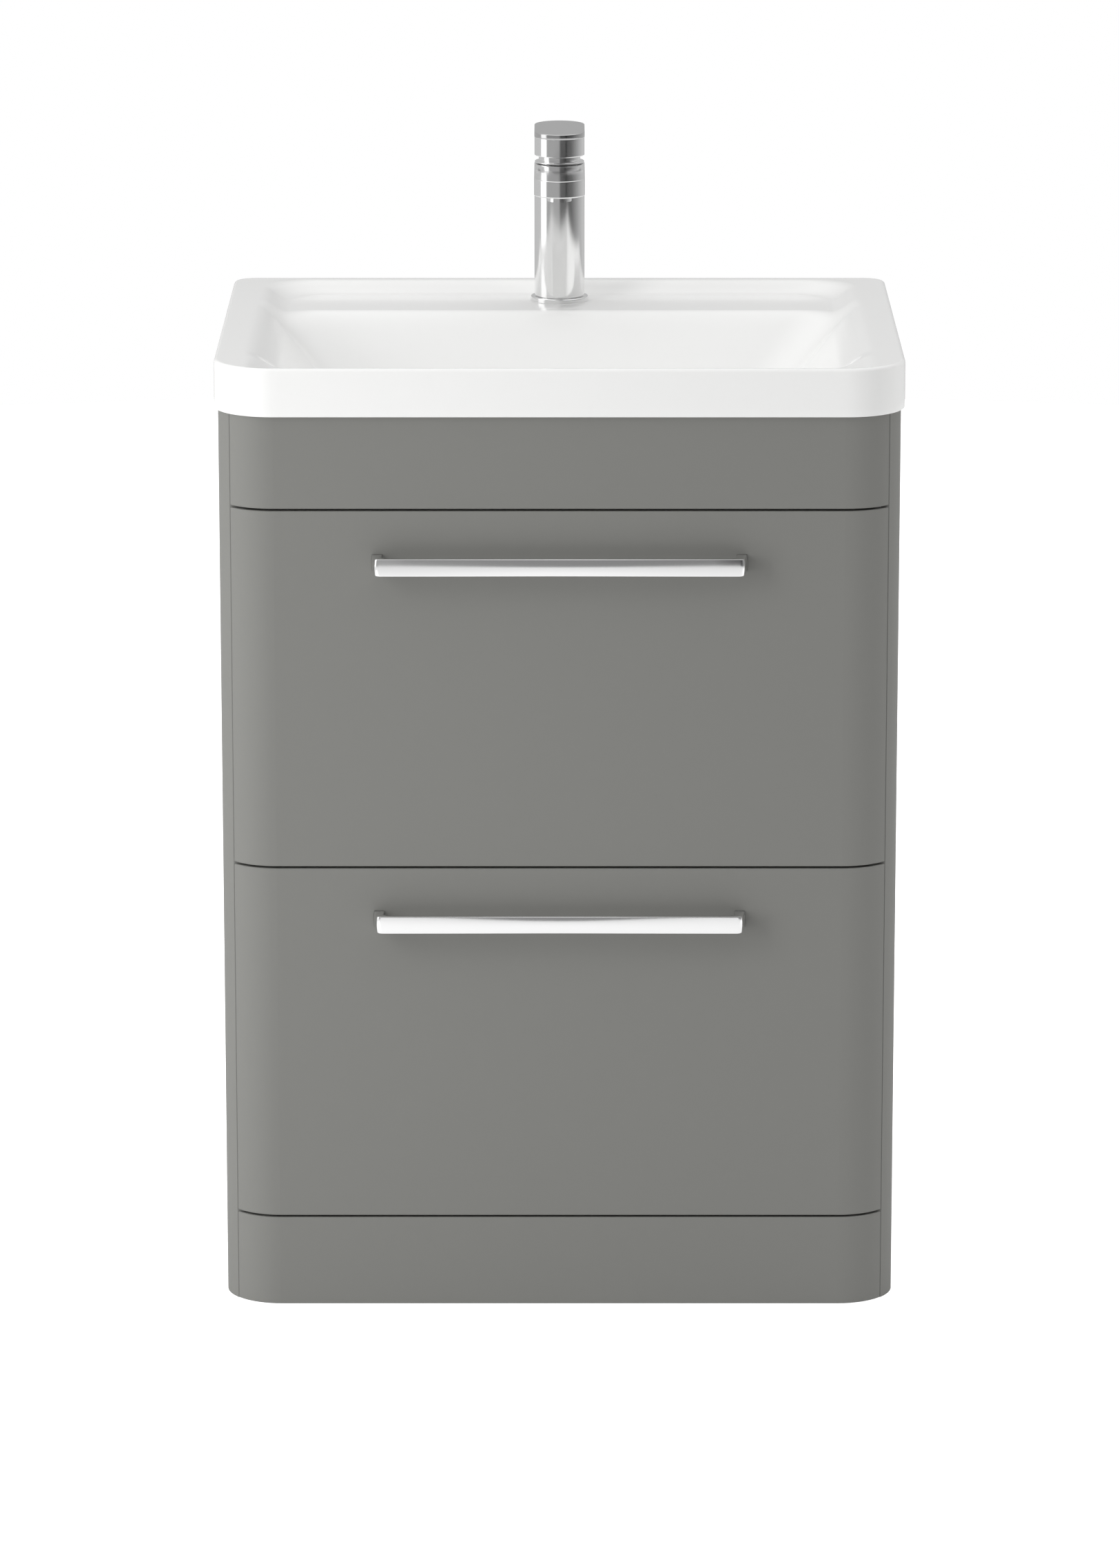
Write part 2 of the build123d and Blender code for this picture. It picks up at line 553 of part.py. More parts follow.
def tap_collar():
    """The collar on top of the column: a thin flange under a neck that is part of a ball about the pivot."""
    ball = Pos(0, TAP_Y, PIVOT_Z) * Sphere(NECK_RADIUS)
    neck = ball & upright(NECK_RADIUS, NECK_Z - COLLAR_THICKNESS / 2, KNOB_Z + NECK_DOME, 0, TAP_Y)
    flange = upright(COLLAR_RADIUS, COLLAR_Z, NECK_Z, 0, TAP_Y)
    spigot = upright(CARTRIDGE_RADIUS, CARTRIDGE_TOP_Z, COLLAR_Z + COLLAR_THICKNESS / 2, 0, TAP_Y)
    bore = upright(NECK_BORE_RADIUS, CARTRIDGE_TOP_Z - 1, KNOB_Z + NECK_DOME + 1, 0, TAP_Y)
    return neck + flange + spigot - bore


def tap_aerator():
    """The aerator ring under the spout's round end."""
    y = TAP_Y - SPOUT_REACH
    ring = upright(AERATOR_RADIUS, SPOUT_Z - AERATOR_DROP, SPOUT_Z + AERATOR_THREAD, 0, y)
    bore = upright(AERATOR_BORE_RADIUS, SPOUT_Z - AERATOR_DROP - 1, SPOUT_Z - AERATOR_DROP / 2, 0, y)
    return ring - bore


def tap_yoke():
    """The turning disc on the cartridge, with a lug on each side of the spindle."""
    foot = CARTRIDGE_TOP_Z + MOVING_CLEARANCE
    disc_radius = NECK_BORE_RADIUS - MOVING_CLEARANCE
    yoke = upright(disc_radius, foot, foot + YOKE_THICKNESS, 0, TAP_Y)
    near = SPINDLE_WIDTH / 2 + MOVING_CLEARANCE
    for side in (-1, 1):
        x0, x1 = sorted((side * near, side * (near + LUG_WIDTH)))
        reach = SPINDLE_DEPTH / 2 + 1
        yoke += block(x0, x1, TAP_Y - reach, TAP_Y + reach, foot, PIVOT_Z + 2 * PIVOT_RADIUS)
    length = near + LUG_WIDTH
    return yoke - along_x(PIVOT_RADIUS + THREAD_CLEARANCE, -length - 1, length + 1, TAP_Y, PIVOT_Z)


def tap_spindle():
    """The square spindle that carries the knob and tilts on the pivot pin."""
    top = KNOB_TOP_Z - KNOB_TOP / 2
    bar = block(
        -SPINDLE_WIDTH / 2,
        SPINDLE_WIDTH / 2,
        TAP_Y - SPINDLE_DEPTH / 2,
        TAP_Y + SPINDLE_DEPTH / 2,
        PIVOT_Z - SPINDLE_FOOT,
        top,
    )
    return bar - along_x(PIVOT_RADIUS + THREAD_CLEARANCE, -SPINDLE_WIDTH, SPINDLE_WIDTH, TAP_Y, PIVOT_Z)


def tap_knob():
    """The round knob, hollow over the neck, with a boss that takes the spindle and the grub screw."""
    knob = upright(KNOB_RADIUS, KNOB_Z, KNOB_TOP_Z, 0, TAP_Y)
    ceiling = KNOB_TOP_Z - KNOB_TOP
    knob -= upright(KNOB_POCKET_RADIUS, KNOB_Z - 1, ceiling, 0, TAP_Y)
    knob += upright(KNOB_BOSS_RADIUS, ceiling - KNOB_BOSS, ceiling + 1, 0, TAP_Y)
    half_width = SPINDLE_WIDTH / 2 + THREAD_CLEARANCE
    half_depth = SPINDLE_DEPTH / 2 + THREAD_CLEARANCE
    socket_top = KNOB_TOP_Z - KNOB_TOP / 2
    knob -= block(
        -half_width, half_width, TAP_Y - half_depth, TAP_Y + half_depth, KNOB_Z - 1, socket_top
    )
    grub_end = TAP_Y + KNOB_RADIUS + 1
    return knob - along_y(GRUB_RADIUS + THREAD_CLEARANCE, TAP_Y, grub_end, 0, KNOB_Z + GRUB_RISE)


def tap_lever():
    """The flat blade on top of the knob, reaching forward over the spout."""
    blade = extrude(stadium(LEVER_REACH, KNOB_RADIUS, KNOB_TOP_Z), LEVER_THICKNESS)
    rims = blade.edges().group_by(Axis.Z)
    return fillet(rims[-1], LEVER_EDGE_RADIUS)


def tap_fixing():
    """What holds the tap under the ledge: a stud, a clamp plate with a slot, and a nut."""
    y = TAP_Y + STUD_OFFSET
    top = INLET_Z + STUD_GRIP
    clamp_z = LEDGE_UNDER_Z - CLAMP_PLATE
    clamp = upright(CLAMP_RADIUS, clamp_z, LEDGE_UNDER_Z, 0, TAP_Y)
    clamp -= upright(STUD_RADIUS + THREAD_CLEARANCE, clamp_z - 1, LEDGE_UNDER_Z + 1, 0, y)
    slot = INLET_OFFSET_X + INLET_RADIUS + 1
    clamp -= block(
        -slot, slot, TAP_Y - CLAMP_RADIUS - 1, TAP_Y + INLET_OFFSET_Y / 4, clamp_z - 1, LEDGE_UNDER_Z + 1
    )
    nut_z = clamp_z - STUD_NUT
    hexagon = Pos(0, y, nut_z) * RegularPolygon(STUD_NUT_WIDTH / 2, 6, major_radius=False)
    nut = extrude(hexagon, STUD_NUT)
    nut -= upright(STUD_RADIUS + THREAD_CLEARANCE, nut_z - 1, clamp_z + 1, 0, y)
    return {
        "tap_stud": upright(STUD_RADIUS, top - STUD_LENGTH, top, 0, y),
        "tap_clamp": clamp,
        "tap_nut": nut,
    }


def tap():
    """Every piece of the tap."""
    pin = SPINDLE_WIDTH / 2 + MOVING_CLEARANCE + LUG_WIDTH
    grub_in = TAP_Y + SPINDLE_DEPTH / 2
    grub_out = TAP_Y + KNOB_RADIUS - 1
    cartridge_foot = CARTRIDGE_TOP_Z - CARTRIDGE_HEIGHT
    parts = {
        "tap_base_ring": tube(BASE_RING_RADIUS, TAP_HOLE_RADIUS, LEDGE_Z, RING_TOP_Z, 0, TAP_Y),
        "tap_body": tap_body(),
        "tap_aerator": tap_aerator(),
        "tap_cartridge": upright(CARTRIDGE_RADIUS, cartridge_foot, CARTRIDGE_TOP_Z, 0, TAP_Y),
        "tap_collar": tap_collar(),
        "tap_yoke": tap_yoke(),
        "tap_pivot_pin": along_x(PIVOT_RADIUS, -pin, pin, TAP_Y, PIVOT_Z),
        "tap_spindle": tap_spindle(),
        "tap_knob": tap_knob(),
        "tap_lever": tap_lever(),
        "tap_grub_screw": along_y(GRUB_RADIUS, grub_in, grub_out, 0, KNOB_Z + GRUB_RISE),
    }
    parts.update(tap_fixing())
    return parts


def write_all():
    """Write every node's STEP file."""
    nodes = carcass()
    nodes.update(lower_drawer())
    nodes.update(upper_drawer())
    nodes["basin"] = basin()
    nodes.update(waste())
    nodes.update(tap())
    os.makedirs("parts", exist_ok=True)
    for name, shape in nodes.items():
        export_step(shape, f"parts/{name}.step")


write_all()
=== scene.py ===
import json
import math

import bmesh
import bpy
import numpy as np
from bpy.props import FloatProperty, FloatVectorProperty, IntProperty, PointerProperty
from bpy.types import Operator, Panel, PropertyGroup
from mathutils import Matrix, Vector


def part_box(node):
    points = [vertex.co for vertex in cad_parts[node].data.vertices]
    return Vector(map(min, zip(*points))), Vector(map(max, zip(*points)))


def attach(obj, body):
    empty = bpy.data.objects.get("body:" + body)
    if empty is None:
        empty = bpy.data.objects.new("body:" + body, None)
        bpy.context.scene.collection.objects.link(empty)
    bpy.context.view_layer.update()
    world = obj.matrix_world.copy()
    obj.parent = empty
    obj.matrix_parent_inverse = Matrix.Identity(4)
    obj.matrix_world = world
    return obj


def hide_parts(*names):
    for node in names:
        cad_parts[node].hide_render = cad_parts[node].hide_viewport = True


bl_info = {
    "name": "Bathroom Vanity Cabinet",
    "version": (1, 0, 0),
    "blender": (4, 5, 0),
    "location": "View3D > Sidebar > Vanity",
    "description": "Finishes and smooth pieces of a two-drawer vanity cabinet with a basin and a lever tap",
    "category": "Add Mesh",
}

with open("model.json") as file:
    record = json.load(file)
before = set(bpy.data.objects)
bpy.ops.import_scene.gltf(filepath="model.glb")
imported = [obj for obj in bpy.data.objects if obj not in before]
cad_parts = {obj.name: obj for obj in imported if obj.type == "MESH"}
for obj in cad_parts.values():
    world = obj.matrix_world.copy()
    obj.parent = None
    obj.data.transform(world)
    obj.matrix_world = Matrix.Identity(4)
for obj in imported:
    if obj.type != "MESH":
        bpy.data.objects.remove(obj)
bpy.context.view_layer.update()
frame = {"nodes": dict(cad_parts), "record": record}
BASIN_LOW, BASIN_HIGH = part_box("basin")
RING_LOW, RING_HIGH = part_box("tap_base_ring")
FRONT_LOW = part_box("upper_drawer_front")[0]
WASTE_LOW, WASTE_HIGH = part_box("waste_body")
MM = 0.001

# Sizes of the tap's CAD nodes that their bounds don't give.
RING_BORE = 17.5 * MM
FOOT_INSET = 1.0 * MM  # of the seam between base ring and column
FOOT_SEAM = 0.6 * MM
POCKET_RADIUS, POCKET_DEPTH = 17.0 * MM, 8.0 * MM  # the hollow foot
SPOUT_RISE = 108.2 * MM  # from the column's foot to the spout's underside
SPIGOT_RADIUS, SPIGOT_RISE = 17.4 * MM, 6.6 * MM  # the collar's part inside the column
FLANGE = 1.0 * MM
NECK_BORE = 12.5 * MM
SEAM_SHARE = 0.6  # of the edge radius, where knob and lever meet
NECK_RADIUS, NECK_CENTRE = 19.1 * MM, 2.7 * MM  # the neck's ball, and its centre above the flange
KNOB_POCKET, KNOB_CEILING = 20.0 * MM, 6.4 * MM

# The room as bare polished metal mirrors it: (degrees round from the front, brightness), and overhead.
ROOM = (
    (-180, 0.62), (-155, 0.66), (-135, 0.7), (-96, 0.7), (-90, 2), (-66, 2), (-61, 0.46), (-3, 0.44),
    (5, 0.13), (26, 0.1), (31, 0.03), (37, 0.1), (58, 0.16), (106, 0.55), (135, 0.7), (155, 0.66), (180, 0.62),
)
ROOM_TOP = 2.0
OVERHEAD = 1.55
OVERHEAD_FROM, OVERHEAD_TO = 0.40, 0.90  # sines of the elevations between which it takes over
FLOOR_RADII = (0.001, 0.8, 2.2, 4.2)
FLOOR_DROP = 0.2 * MM
LIGHT_TARGET = (0, 0, 0.5)
KEY_PLACE, KEY_SIZE = (-1.7, -1.5, 1.1), (0.7, 2.2)
FILL_PLACE, FILL_SIZE = (2.8, -0.6, 1.2), (1.0, 2.0)


# ---- sizes and colours


def length(name, description, default, **extra):
    """A size in metres, with the usual limits."""
    return FloatProperty(
        name=name, description=description, default=default, min=0.0, precision=4, unit="LENGTH", **extra
    )


def colour(name, description, default):
    """A linear colour."""
    return FloatVectorProperty(
        name=name, description=description, default=default, size=3, min=0.0, max=1.0, subtype="COLOR"
    )


def share(name, description, default, top=1.0):
    """A number from nought to one, or to another top."""
    return FloatProperty(name=name, description=description, default=default, min=0.0, max=top, precision=3)


class VanityFinishes(PropertyGroup):
    paint: colour("Paint", "Satin grey paint on the fronts and sides", (0.164, 0.163, 0.158))
    paint_roughness: share("Paint roughness", "Sheen of the paint, higher is flatter", 0.44)
    peel: length("Orange peel", "Width of one ripple in the sprayed paint", 0.0016)
    melamine: colour("Carcass melamine", "Facing of the inner boards", (0.24, 0.24, 0.235))
    lining: colour("Drawer board", "Facing of the drawer boxes", (0.60, 0.60, 0.59))
    glaze: colour("Glaze", "White of the ceramic", (0.885, 0.885, 0.885))
    glaze_roughness: share("Glaze roughness", "Gloss of the ceramic", 0.07)
    chrome: colour("Chrome", "Polished chrome plate", (0.86, 0.865, 0.87))
    satin_chrome: colour("Satin chrome", "Brushed top of the lever", (0.42, 0.42, 0.42))
    zinc: colour("Zinc plate", "Drawer runners and screws", (0.56, 0.57, 0.58))
    steel: colour("Bare steel", "Stud, nut, clamp and spindle", (0.46, 0.46, 0.46))
    plastic: colour("Plastic", "Moulded nut and cartridge", (0.30, 0.30, 0.31))
    rubber: colour("Rubber", "Sealing washer", (0.035, 0.035, 0.035))


class VanityBasin(PropertyGroup):
    front_radius: length("Front corner radius", "Outer front corners in plan", 0.0533)
    back_radius: length("Back corner radius", "Outer back corners in plan", 0.020)
    edge_radius: length("Edge radius", "Rounding of the outer top edge", 0.0035)
    side_land: length("Side land", "Flat rim beside the bowl", 0.0373)
    front_land: length("Front land", "Flat rim ahead of the bowl", 0.054)
    back_land: length("Back land", "Flat rim behind the tap ledge", 0.020)
    ledge_depth: length("Tap ledge depth", "Sunk ledge behind the bowl", 0.100)
    ledge_drop: length("Tap ledge drop", "Rim to the sunk ledge", 0.010)
    bowl_depth: length("Bowl depth", "Rim to the bowl's floor", 0.120)
    corner_radius: length("Bowl corner radius", "Bowl corners in plan", 0.042)
    side_slope: length("Side slope", "How far each side comes in by the floor", 0.108)
    back_slope: length("Back slope", "How far the back comes in by the floor", 0.106)
    front_slope: length("Front slope", "How far the front comes in by the floor", 0.040)
    lip_blend: length("Lip blend", "Softness of the bowl's upper edge", 0.010)
    ledge_blend: length("Ledge blend", "Softness of the ledge's front edge", 0.012)
    floor_blend: length("Floor blend", "Softness where walls meet the floor", 0.040)
    wall: length("Wall", "Thickness of the ceramic", 0.010)
    skirt: length("Skirt", "Width of the foot that stands on the cabinet", 0.018)
    rings: IntProperty(name="Rings", description="Rings between key outlines", default=21, min=6, max=40)


class VanityTap(PropertyGroup):
    edge: length("Edge radius", "Rounding of the spout's, knob's and lever's edges", 0.0007)
    fine_edge: length("Fine edge radius", "Rounding of the column's foot and the collar's flange", 0.0003)
    ring_edge: length("Base ring edge", "Rounding of the base ring's upper edge", 0.0011)
    facets: IntProperty(name="Facets", description="Points round half a turn", default=72, min=12, max=200)


class VanityHandles(PropertyGroup):
    crown: length("Crown radius", "Radius of the bowed front face", 0.045)
    edge: length("Edge radius", "Rounding of the bar's long edges", 0.0007)
    outer_radius: length("Outer corner radius", "Bend at each end, outside", 0.005)
    inner_radius: length("Inner corner radius", "Bend at each end, inside", 0.009)
    strap: length("Strap", "Thickness of the bar", 0.004)
    foot: length("Foot", "Thickness of each leg at the board", 0.010)
    taper: length("Taper", "How far each end leans in from foot to strap", 0.003)


class VanityStage(PropertyGroup):
    camera_distance: length("Camera distance", "From the fronts to the camera", 6.007)
    camera_height: length("Camera height", "Above the floor", 1.955)
    camera_tilt: FloatProperty(
        name="Camera tilt", description="Downward tilt", default=math.radians(13.79), subtype="ANGLE"
    )
    camera_lens: FloatProperty(name="Focal length", description="Millimetres", default=160.96, min=10.0)
    floor: colour("Floor", "Plain studio floor", (0.80, 0.80, 0.80))
    floor_glow: share("Floor glow", "How far the lit floor is lifted towards white", 0.75, top=2.0)
    key_power: FloatProperty(name="Key light", description="Watts, at the left front", default=27.0, min=0.0)
    fill_power: FloatProperty(name="Fill light", description="Watts, at the right", default=19.0, min=0.0)
    world_strength: FloatProperty(name="Room light", description="From all round", default=0.8, min=0.0)


# ---- meshes


def mesh_from_grid(name, points, wrap_rows=False, wrap_columns=False):
    """A quad mesh on a grid of points (rows, columns, 3), closed round in either direction where asked."""
    rows, columns = points.shape[:2]
    index = np.arange(rows * columns).reshape(rows, columns)
    if wrap_rows:
        index = np.vstack([index, index[:1]])
    if wrap_columns:
        index = np.hstack([index, index[:, :1]])
    quads = np.stack([index[:-1, :-1], index[:-1, 1:], index[1:, 1:], index[1:, :-1]], axis=-1).reshape(-1, 4)
    corners = points.reshape(-1, 3)[quads]
    centre = points.reshape(-1, 3).mean(0)
    a, b, c, d = (corners[:, i] - centre for i in range(4))
    volume = np.einsum("ij,ij->i", a, np.cross(b, c)).sum() + np.einsum("ij,ij->i", a, np.cross(c, d)).sum()
    if volume < 0:
        quads = quads[:, ::-1]
    mesh = bpy.data.meshes.new(name)
    mesh.vertices.add(rows * columns)
    mesh.vertices.foreach_set("co", points.astype(np.float32).ravel())
    mesh.loops.add(quads.size)
    mesh.loops.foreach_set("vertex_index", quads.astype(np.int32).ravel())
    mesh.polygons.add(len(quads))
    mesh.polygons.foreach_set("loop_start", np.arange(0, quads.size, 4, dtype=np.int32))
    mesh.update(calc_edges=True)
    mesh.validate()
    mesh.polygons.foreach_set("use_smooth", np.ones(len(mesh.polygons), bool))
    return mesh


def place(name, mesh, body, slot, material, *nodes):
    """Puts a new piece into the scene: it rides on a body and stands for the named CAD nodes."""
    piece = bpy.data.objects.new(name, mesh)
    bpy.context.scene.collection.objects.link(piece)
    mesh.materials.append(material)
    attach(piece, body)
    if nodes:
        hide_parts(*nodes)
    return piece


def outline_angles(x_half, y0, y1, front_radius, back_radius, centre_y, spacing, arc_steps):
    """Directions from the centre to points spread along a rounded rectangle, more of them round its corners.

    The straight runs are divided evenly by the spacing and each corner arc into arc_steps, and a point's
    direction is the arctangent of its offset from the centre.
    """
    half_pi = math.pi / 2
    runs = []

    def line(a, b):
        count = max(2, round(math.dist(a, b) / spacing))
        t = np.arange(count)[:, None] / count
        runs.append(np.array(a) + t * (np.array(b) - np.array(a)))

    def arc(cx, cy, radius, start):
        angle = start + np.arange(arc_steps) / arc_steps * half_pi
        runs.append(np.stack([cx + radius * np.cos(angle), cy + radius * np.sin(angle)], axis=1))

    fr, br = front_radius, back_radius
    line((x_half, y0 + fr), (x_half, y1 - br))
    arc(x_half - br, y1 - br, br, 0)
    line((x_half - br, y1), (br - x_half, y1))
    arc(br - x_half, y1 - br, br, half_pi)
    line((-x_half, y1 - br), (-x_half, y0 + fr))
    arc(fr - x_half, y0 + fr, fr, math.pi)
    line((fr - x_half, y0), (x_half - fr, y0))
    arc(x_half - fr, y0 + fr, fr, 3 * half_pi)
    points = np.concatenate(runs)
    return np.arctan2(points[:, 1] - centre_y, points[:, 0])


def reach(theta, x_half, y0, y1, front_radius, back_radius, centre_y):
    """Distance from the centre to a rounded rectangle in every direction.

    It is the smaller of the distances to the side line and to the front or back line, and where that point
    falls in a corner's square, the distance to the corner's circle: b + sqrt(b*b - c*c + r*r), where b is
    the circle's centre along the direction and c its distance.
    """
    dx, dy = np.abs(np.cos(theta)), np.sin(theta)
    ahead = np.where(dy > 0, y1 - centre_y, centre_y - y0)
    t = np.minimum(x_half / np.maximum(dx, 1e-9), ahead / np.maximum(np.abs(dy), 1e-9))
    radius = np.where(dy > 0, back_radius, front_radius)
    cx = x_half - radius
    cy = ahead - radius
    inside = (t * dx > cx) & (t * np.abs(dy) > cy)
    b = dx * cx + np.abs(dy) * cy
    corner = b + np.sqrt(np.maximum(b * b - (cx * cx + cy * cy) + radius * radius, 0))
    return np.where(inside, corner, t)


def soft_min(a, b, k):
    """The smaller of two heights, rounded over a difference of k: min - (k - |a - b|)^2 / 4k."""
    return np.minimum(a, b) - np.maximum(k - np.abs(a - b), 0) ** 2 / (4 * k)


def soft_max(a, b, k):
    """The larger of two heights, rounded over a difference of k."""
    return np.maximum(a, b) + np.maximum(k - np.abs(a - b), 0) ** 2 / (4 * k)


def corner_depth(a, b, slope_a, slope_b, radius):
    """Depth inside two sloping walls whose corner is a circle of one radius at every level.

    a and b are the distances inside the walls at the rim. At depth d each wall has come in by its slope
    times d, so with p = radius - a and q = radius - b the corner's circle is
    (p + slope_a d)^2 + (q + slope_b d)^2 = radius^2, and d is its larger root. Away from the corner the
    depth is the smaller of a / slope_a and b / slope_b.
    """
    p, q = radius - a, radius - b
    aa = slope_a**2 + slope_b**2
    bb = p * slope_a + q * slope_b
    cc = p * p + q * q - radius * radius
    disc = bb * bb - aa * cc
    d = (-bb + np.sqrt(np.maximum(disc, 0))) / aa
    flat = np.minimum(a / slope_a, b / slope_b)
    corner = (p + slope_a * d > 0) & (q + slope_b * d > 0) & (disc > 0)
    far = (p > 0) & (q > 0) & (disc <= 0)
    return np.where(corner, d, np.where(far, np.minimum(flat, -0.02), flat))


class BasinForm:
    """The basin's heights over its plan, worked out from its sizes."""

    def __init__(self, sizes):
        self.s = sizes
        self.x = BASIN_HIGH.x
        self.y0, self.y1 = BASIN_LOW.y, BASIN_HIGH.y
        self.foot_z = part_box("top_fascia")[1].z
        self.rim_z = BASIN_HIGH.z
        self.recess_x = self.x - sizes.side_land
        self.recess_y0 = self.y0 + sizes.front_land
        self.recess_y1 = self.y1 - sizes.back_land
        self.bowl_y1 = self.recess_y1 - sizes.ledge_depth
        self.waste_y = (WASTE_LOW.y + WASTE_HIGH.y) / 2

    def bowl(self, x, y, wall=0.0):
        """Depth below the rim of the bowl's walls, moved out by the wall's thickness."""
        s = self.s
        side, front, back = (v / s.bowl_depth for v in (s.side_slope, s.front_slope, s.back_slope))
        a = self.recess_x + wall - np.abs(x)
        radius = s.corner_radius + wall
        ahead = corner_depth(a, y - (self.recess_y0 - wall), side, front, radius)
        behind = corner_depth(a, self.bowl_y1 + wall - y, side, back, radius)
        return np.minimum(ahead, behind)

    def top(self, x, y):
        """Height of the glazed upper face: rim, sunk ledge and bowl, with soft edges between them.

        The bowl is the soft minimum of its walls' depth and the floor's, the ledge the soft minimum of its
        own walls' and its drop, and the face is the rim less the soft maximum of bowl, ledge and nought.
        """
        s = self.s
        bowl = soft_min(self.bowl(x, y), s.bowl_depth, s.floor_blend)
        slope = s.side_slope / s.bowl_depth
        ledge = corner_depth(self.recess_x - np.abs(x), self.recess_y1 - y, slope, slope, s.corner_radius)
        ledge = soft_min(ledge, s.ledge_drop, s.lip_blend)
        depth = soft_max(bowl, ledge, s.ledge_blend)
        return self.rim_z - np.maximum(soft_max(depth, 0.0, s.lip_blend), 0)

    def under(self, x, y):
        """Height of the underside: flat under the ledge, and round the bowl a wall's thickness lower."""
        s = self.s
        floor = s.bowl_depth + s.wall + 3 * MM
        bowl = soft_min(self.bowl(x, y, s.wall), floor, s.floor_blend)
        return soft_min(np.full_like(x, self.rim_z - s.ledge_drop - s.wall), self.rim_z - bowl, s.lip_blend)


def basin_surface(sizes):
    """The whole basin as one closed surface of rings round the waste hole.

    Each ring is r(angle) from the waste's axis. Going outwards over the top, r runs between key outlines
    (waste seat, bowl floor, bowl edge, recess edge, outer edge), with the rings closer together near each,
    and the height is BasinForm.top. The rings then turn down the outer edge's quarter circle, go under the
    foot and up inside the skirt, and come back along BasinForm.under to the waste hole.
    """
    form = BasinForm(sizes)
    s = sizes
    cy = form.waste_y
    theta = outline_angles(
        form.x, form.y0, form.y1, s.front_radius, s.back_radius, cy, 5.5 * MM, 30
    )

    def ring(inset_x, y0, y1, front, back):
        return reach(theta, inset_x, y0, y1, front, back, cy)

    def outer(inset):
        radii = (s.front_radius - inset, s.back_radius - inset)
        return ring(form.x - inset, form.y0 + inset, form.y1 - inset, *radii)

    def plan(r):
        return r * np.cos(theta), cy + r * np.sin(theta)

    hole, seat = 23 * MM, 32.3 * MM
    seat_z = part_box("waste_body")[1].z - 3 * MM
    circle = np.ones_like(theta)
    in_x = 10 * MM
    floor_edge = ring(
        form.recess_x - s.side_slope,
        form.recess_y0 + s.front_slope,
        form.bowl_y1 - s.back_slope,
        s.corner_radius,
        s.corner_radius,
    )
    bowl_front_radius = s.corner_radius - in_x / 2
    bowl_edge = ring(
        form.recess_x - in_x, form.recess_y0 + in_x / 3, form.bowl_y1, bowl_front_radius, s.corner_radius
    )
    recess_edge = ring(form.recess_x, form.recess_y0, form.recess_y1, s.corner_radius, s.corner_radius)
    keys = [(seat + MM) * circle, floor_edge, bowl_edge, recess_edge, outer(s.edge_radius)]
    steps = [s.rings, 2 * s.rings, 2 * s.rings, s.rings]
    rings = []
    for inner, end, count in zip(keys[:-1], keys[1:], steps):
        t = np.arange(count) / count
        eased = 0.35 * t + 0.65 * (0.5 - 0.5 * np.cos(math.pi * t))
        for share_out in eased:
            r = inner + share_out * (end - inner)
            rings.append((r, form.top(*plan(r))))
    flat = np.full_like(theta, form.rim_z)
    turn = np.linspace(0, math.pi / 2, 7)
    for angle in turn:
        inset = s.edge_radius * (1 - math.sin(angle))
        rings.append((outer(inset), flat - s.edge_radius * (1 - math.cos(angle))))
    foot_round = 1.2 * MM
    for z in np.linspace(form.rim_z - 2 * s.edge_radius, form.foot_z + foot_round, 6):
        rings.append((outer(0), np.full_like(theta, z)))
    for angle in turn[1::2]:
        inset = foot_round * (1 - math.cos(angle))
        rings.append((outer(inset), np.full_like(theta, form.foot_z + foot_round * (1 - math.sin(angle)))))
    under_z = form.rim_z - s.ledge_drop - s.wall
    rings.append((outer(s.skirt), np.full_like(theta, form.foot_z)))
    rings.append((outer(s.skirt), np.full_like(theta, under_z)))
    w = s.wall
    foot_edge = ring(
        form.recess_x - s.side_slope + w,
        form.recess_y0 + s.front_slope - w,
        form.bowl_y1 - s.back_slope + w,
        s.corner_radius + w,
        s.corner_radius + w,
    )
    under_keys = [outer(s.skirt + MM), foot_edge, hole * circle]
    for start, end, count in zip(under_keys[:-1], under_keys[1:], (22, 8)):
        for share_in in np.arange(1, count + 1) / count:
            r = start + share_in * (end - start)
            rings.append((r, form.under(*plan(r))))
    rings.append((hole * circle, np.full_like(theta, seat_z)))
    rings.append((seat * circle, np.full_like(theta, seat_z)))
    rings.append((seat * circle, np.full_like(theta, form.rim_z - s.bowl_depth - 0.4 * MM)))
    radii = np.array([r for r, _ in rings])
    heights = np.array([z for _, z in rings])
    points = np.stack([radii * np.cos(theta), cy + radii * np.sin(theta), heights], axis=-1)
    return mesh_from_grid("ceramic_basin", points, wrap_rows=True, wrap_columns=True)


# ---- tap and handles


def welded(mesh):
    """The mesh with the points that meet in one place joined, so that its seams and poles are closed."""
    work = bmesh.new()
    work.from_mesh(mesh)
    bmesh.ops.remove_doubles(work, verts=work.verts, dist=1e-7)
    bmesh.ops.dissolve_degenerate(work, edges=work.edges, dist=1e-8)
    work.to_mesh(mesh)
    work.free()
    mesh.polygons.foreach_set("use_smooth", np.ones(len(mesh.polygons), bool))
    return mesh


def quarter(radius, z, size, lower):
    """Points (radius, height) of a rounded edge, going upwards: outwards if it's a lower edge, or inwards."""
    angle = np.linspace(0, math.pi / 2, 5)
    if lower:
        return [(radius - size * (1 - math.sin(a)), z + size * (1 - math.cos(a))) for a in angle]
    return [(radius - size * (1 - math.cos(a)), z - size * (1 - math.sin(a))) for a in angle]


def held(profile, gap):
    """A profile with a point added near each end of its longer runs, so that flats stay flat when shaded."""
    points = [profile[0]]
    for a, b in zip(profile[:-1], profile[1:]):
        run = math.dist(a, b)
        if run > 4 * gap:
            for t in (gap / run, 1 - gap / run):
                points.append(tuple(u + t * (v - u) for u, v in zip(a, b)))
        points.append(b)
    return points


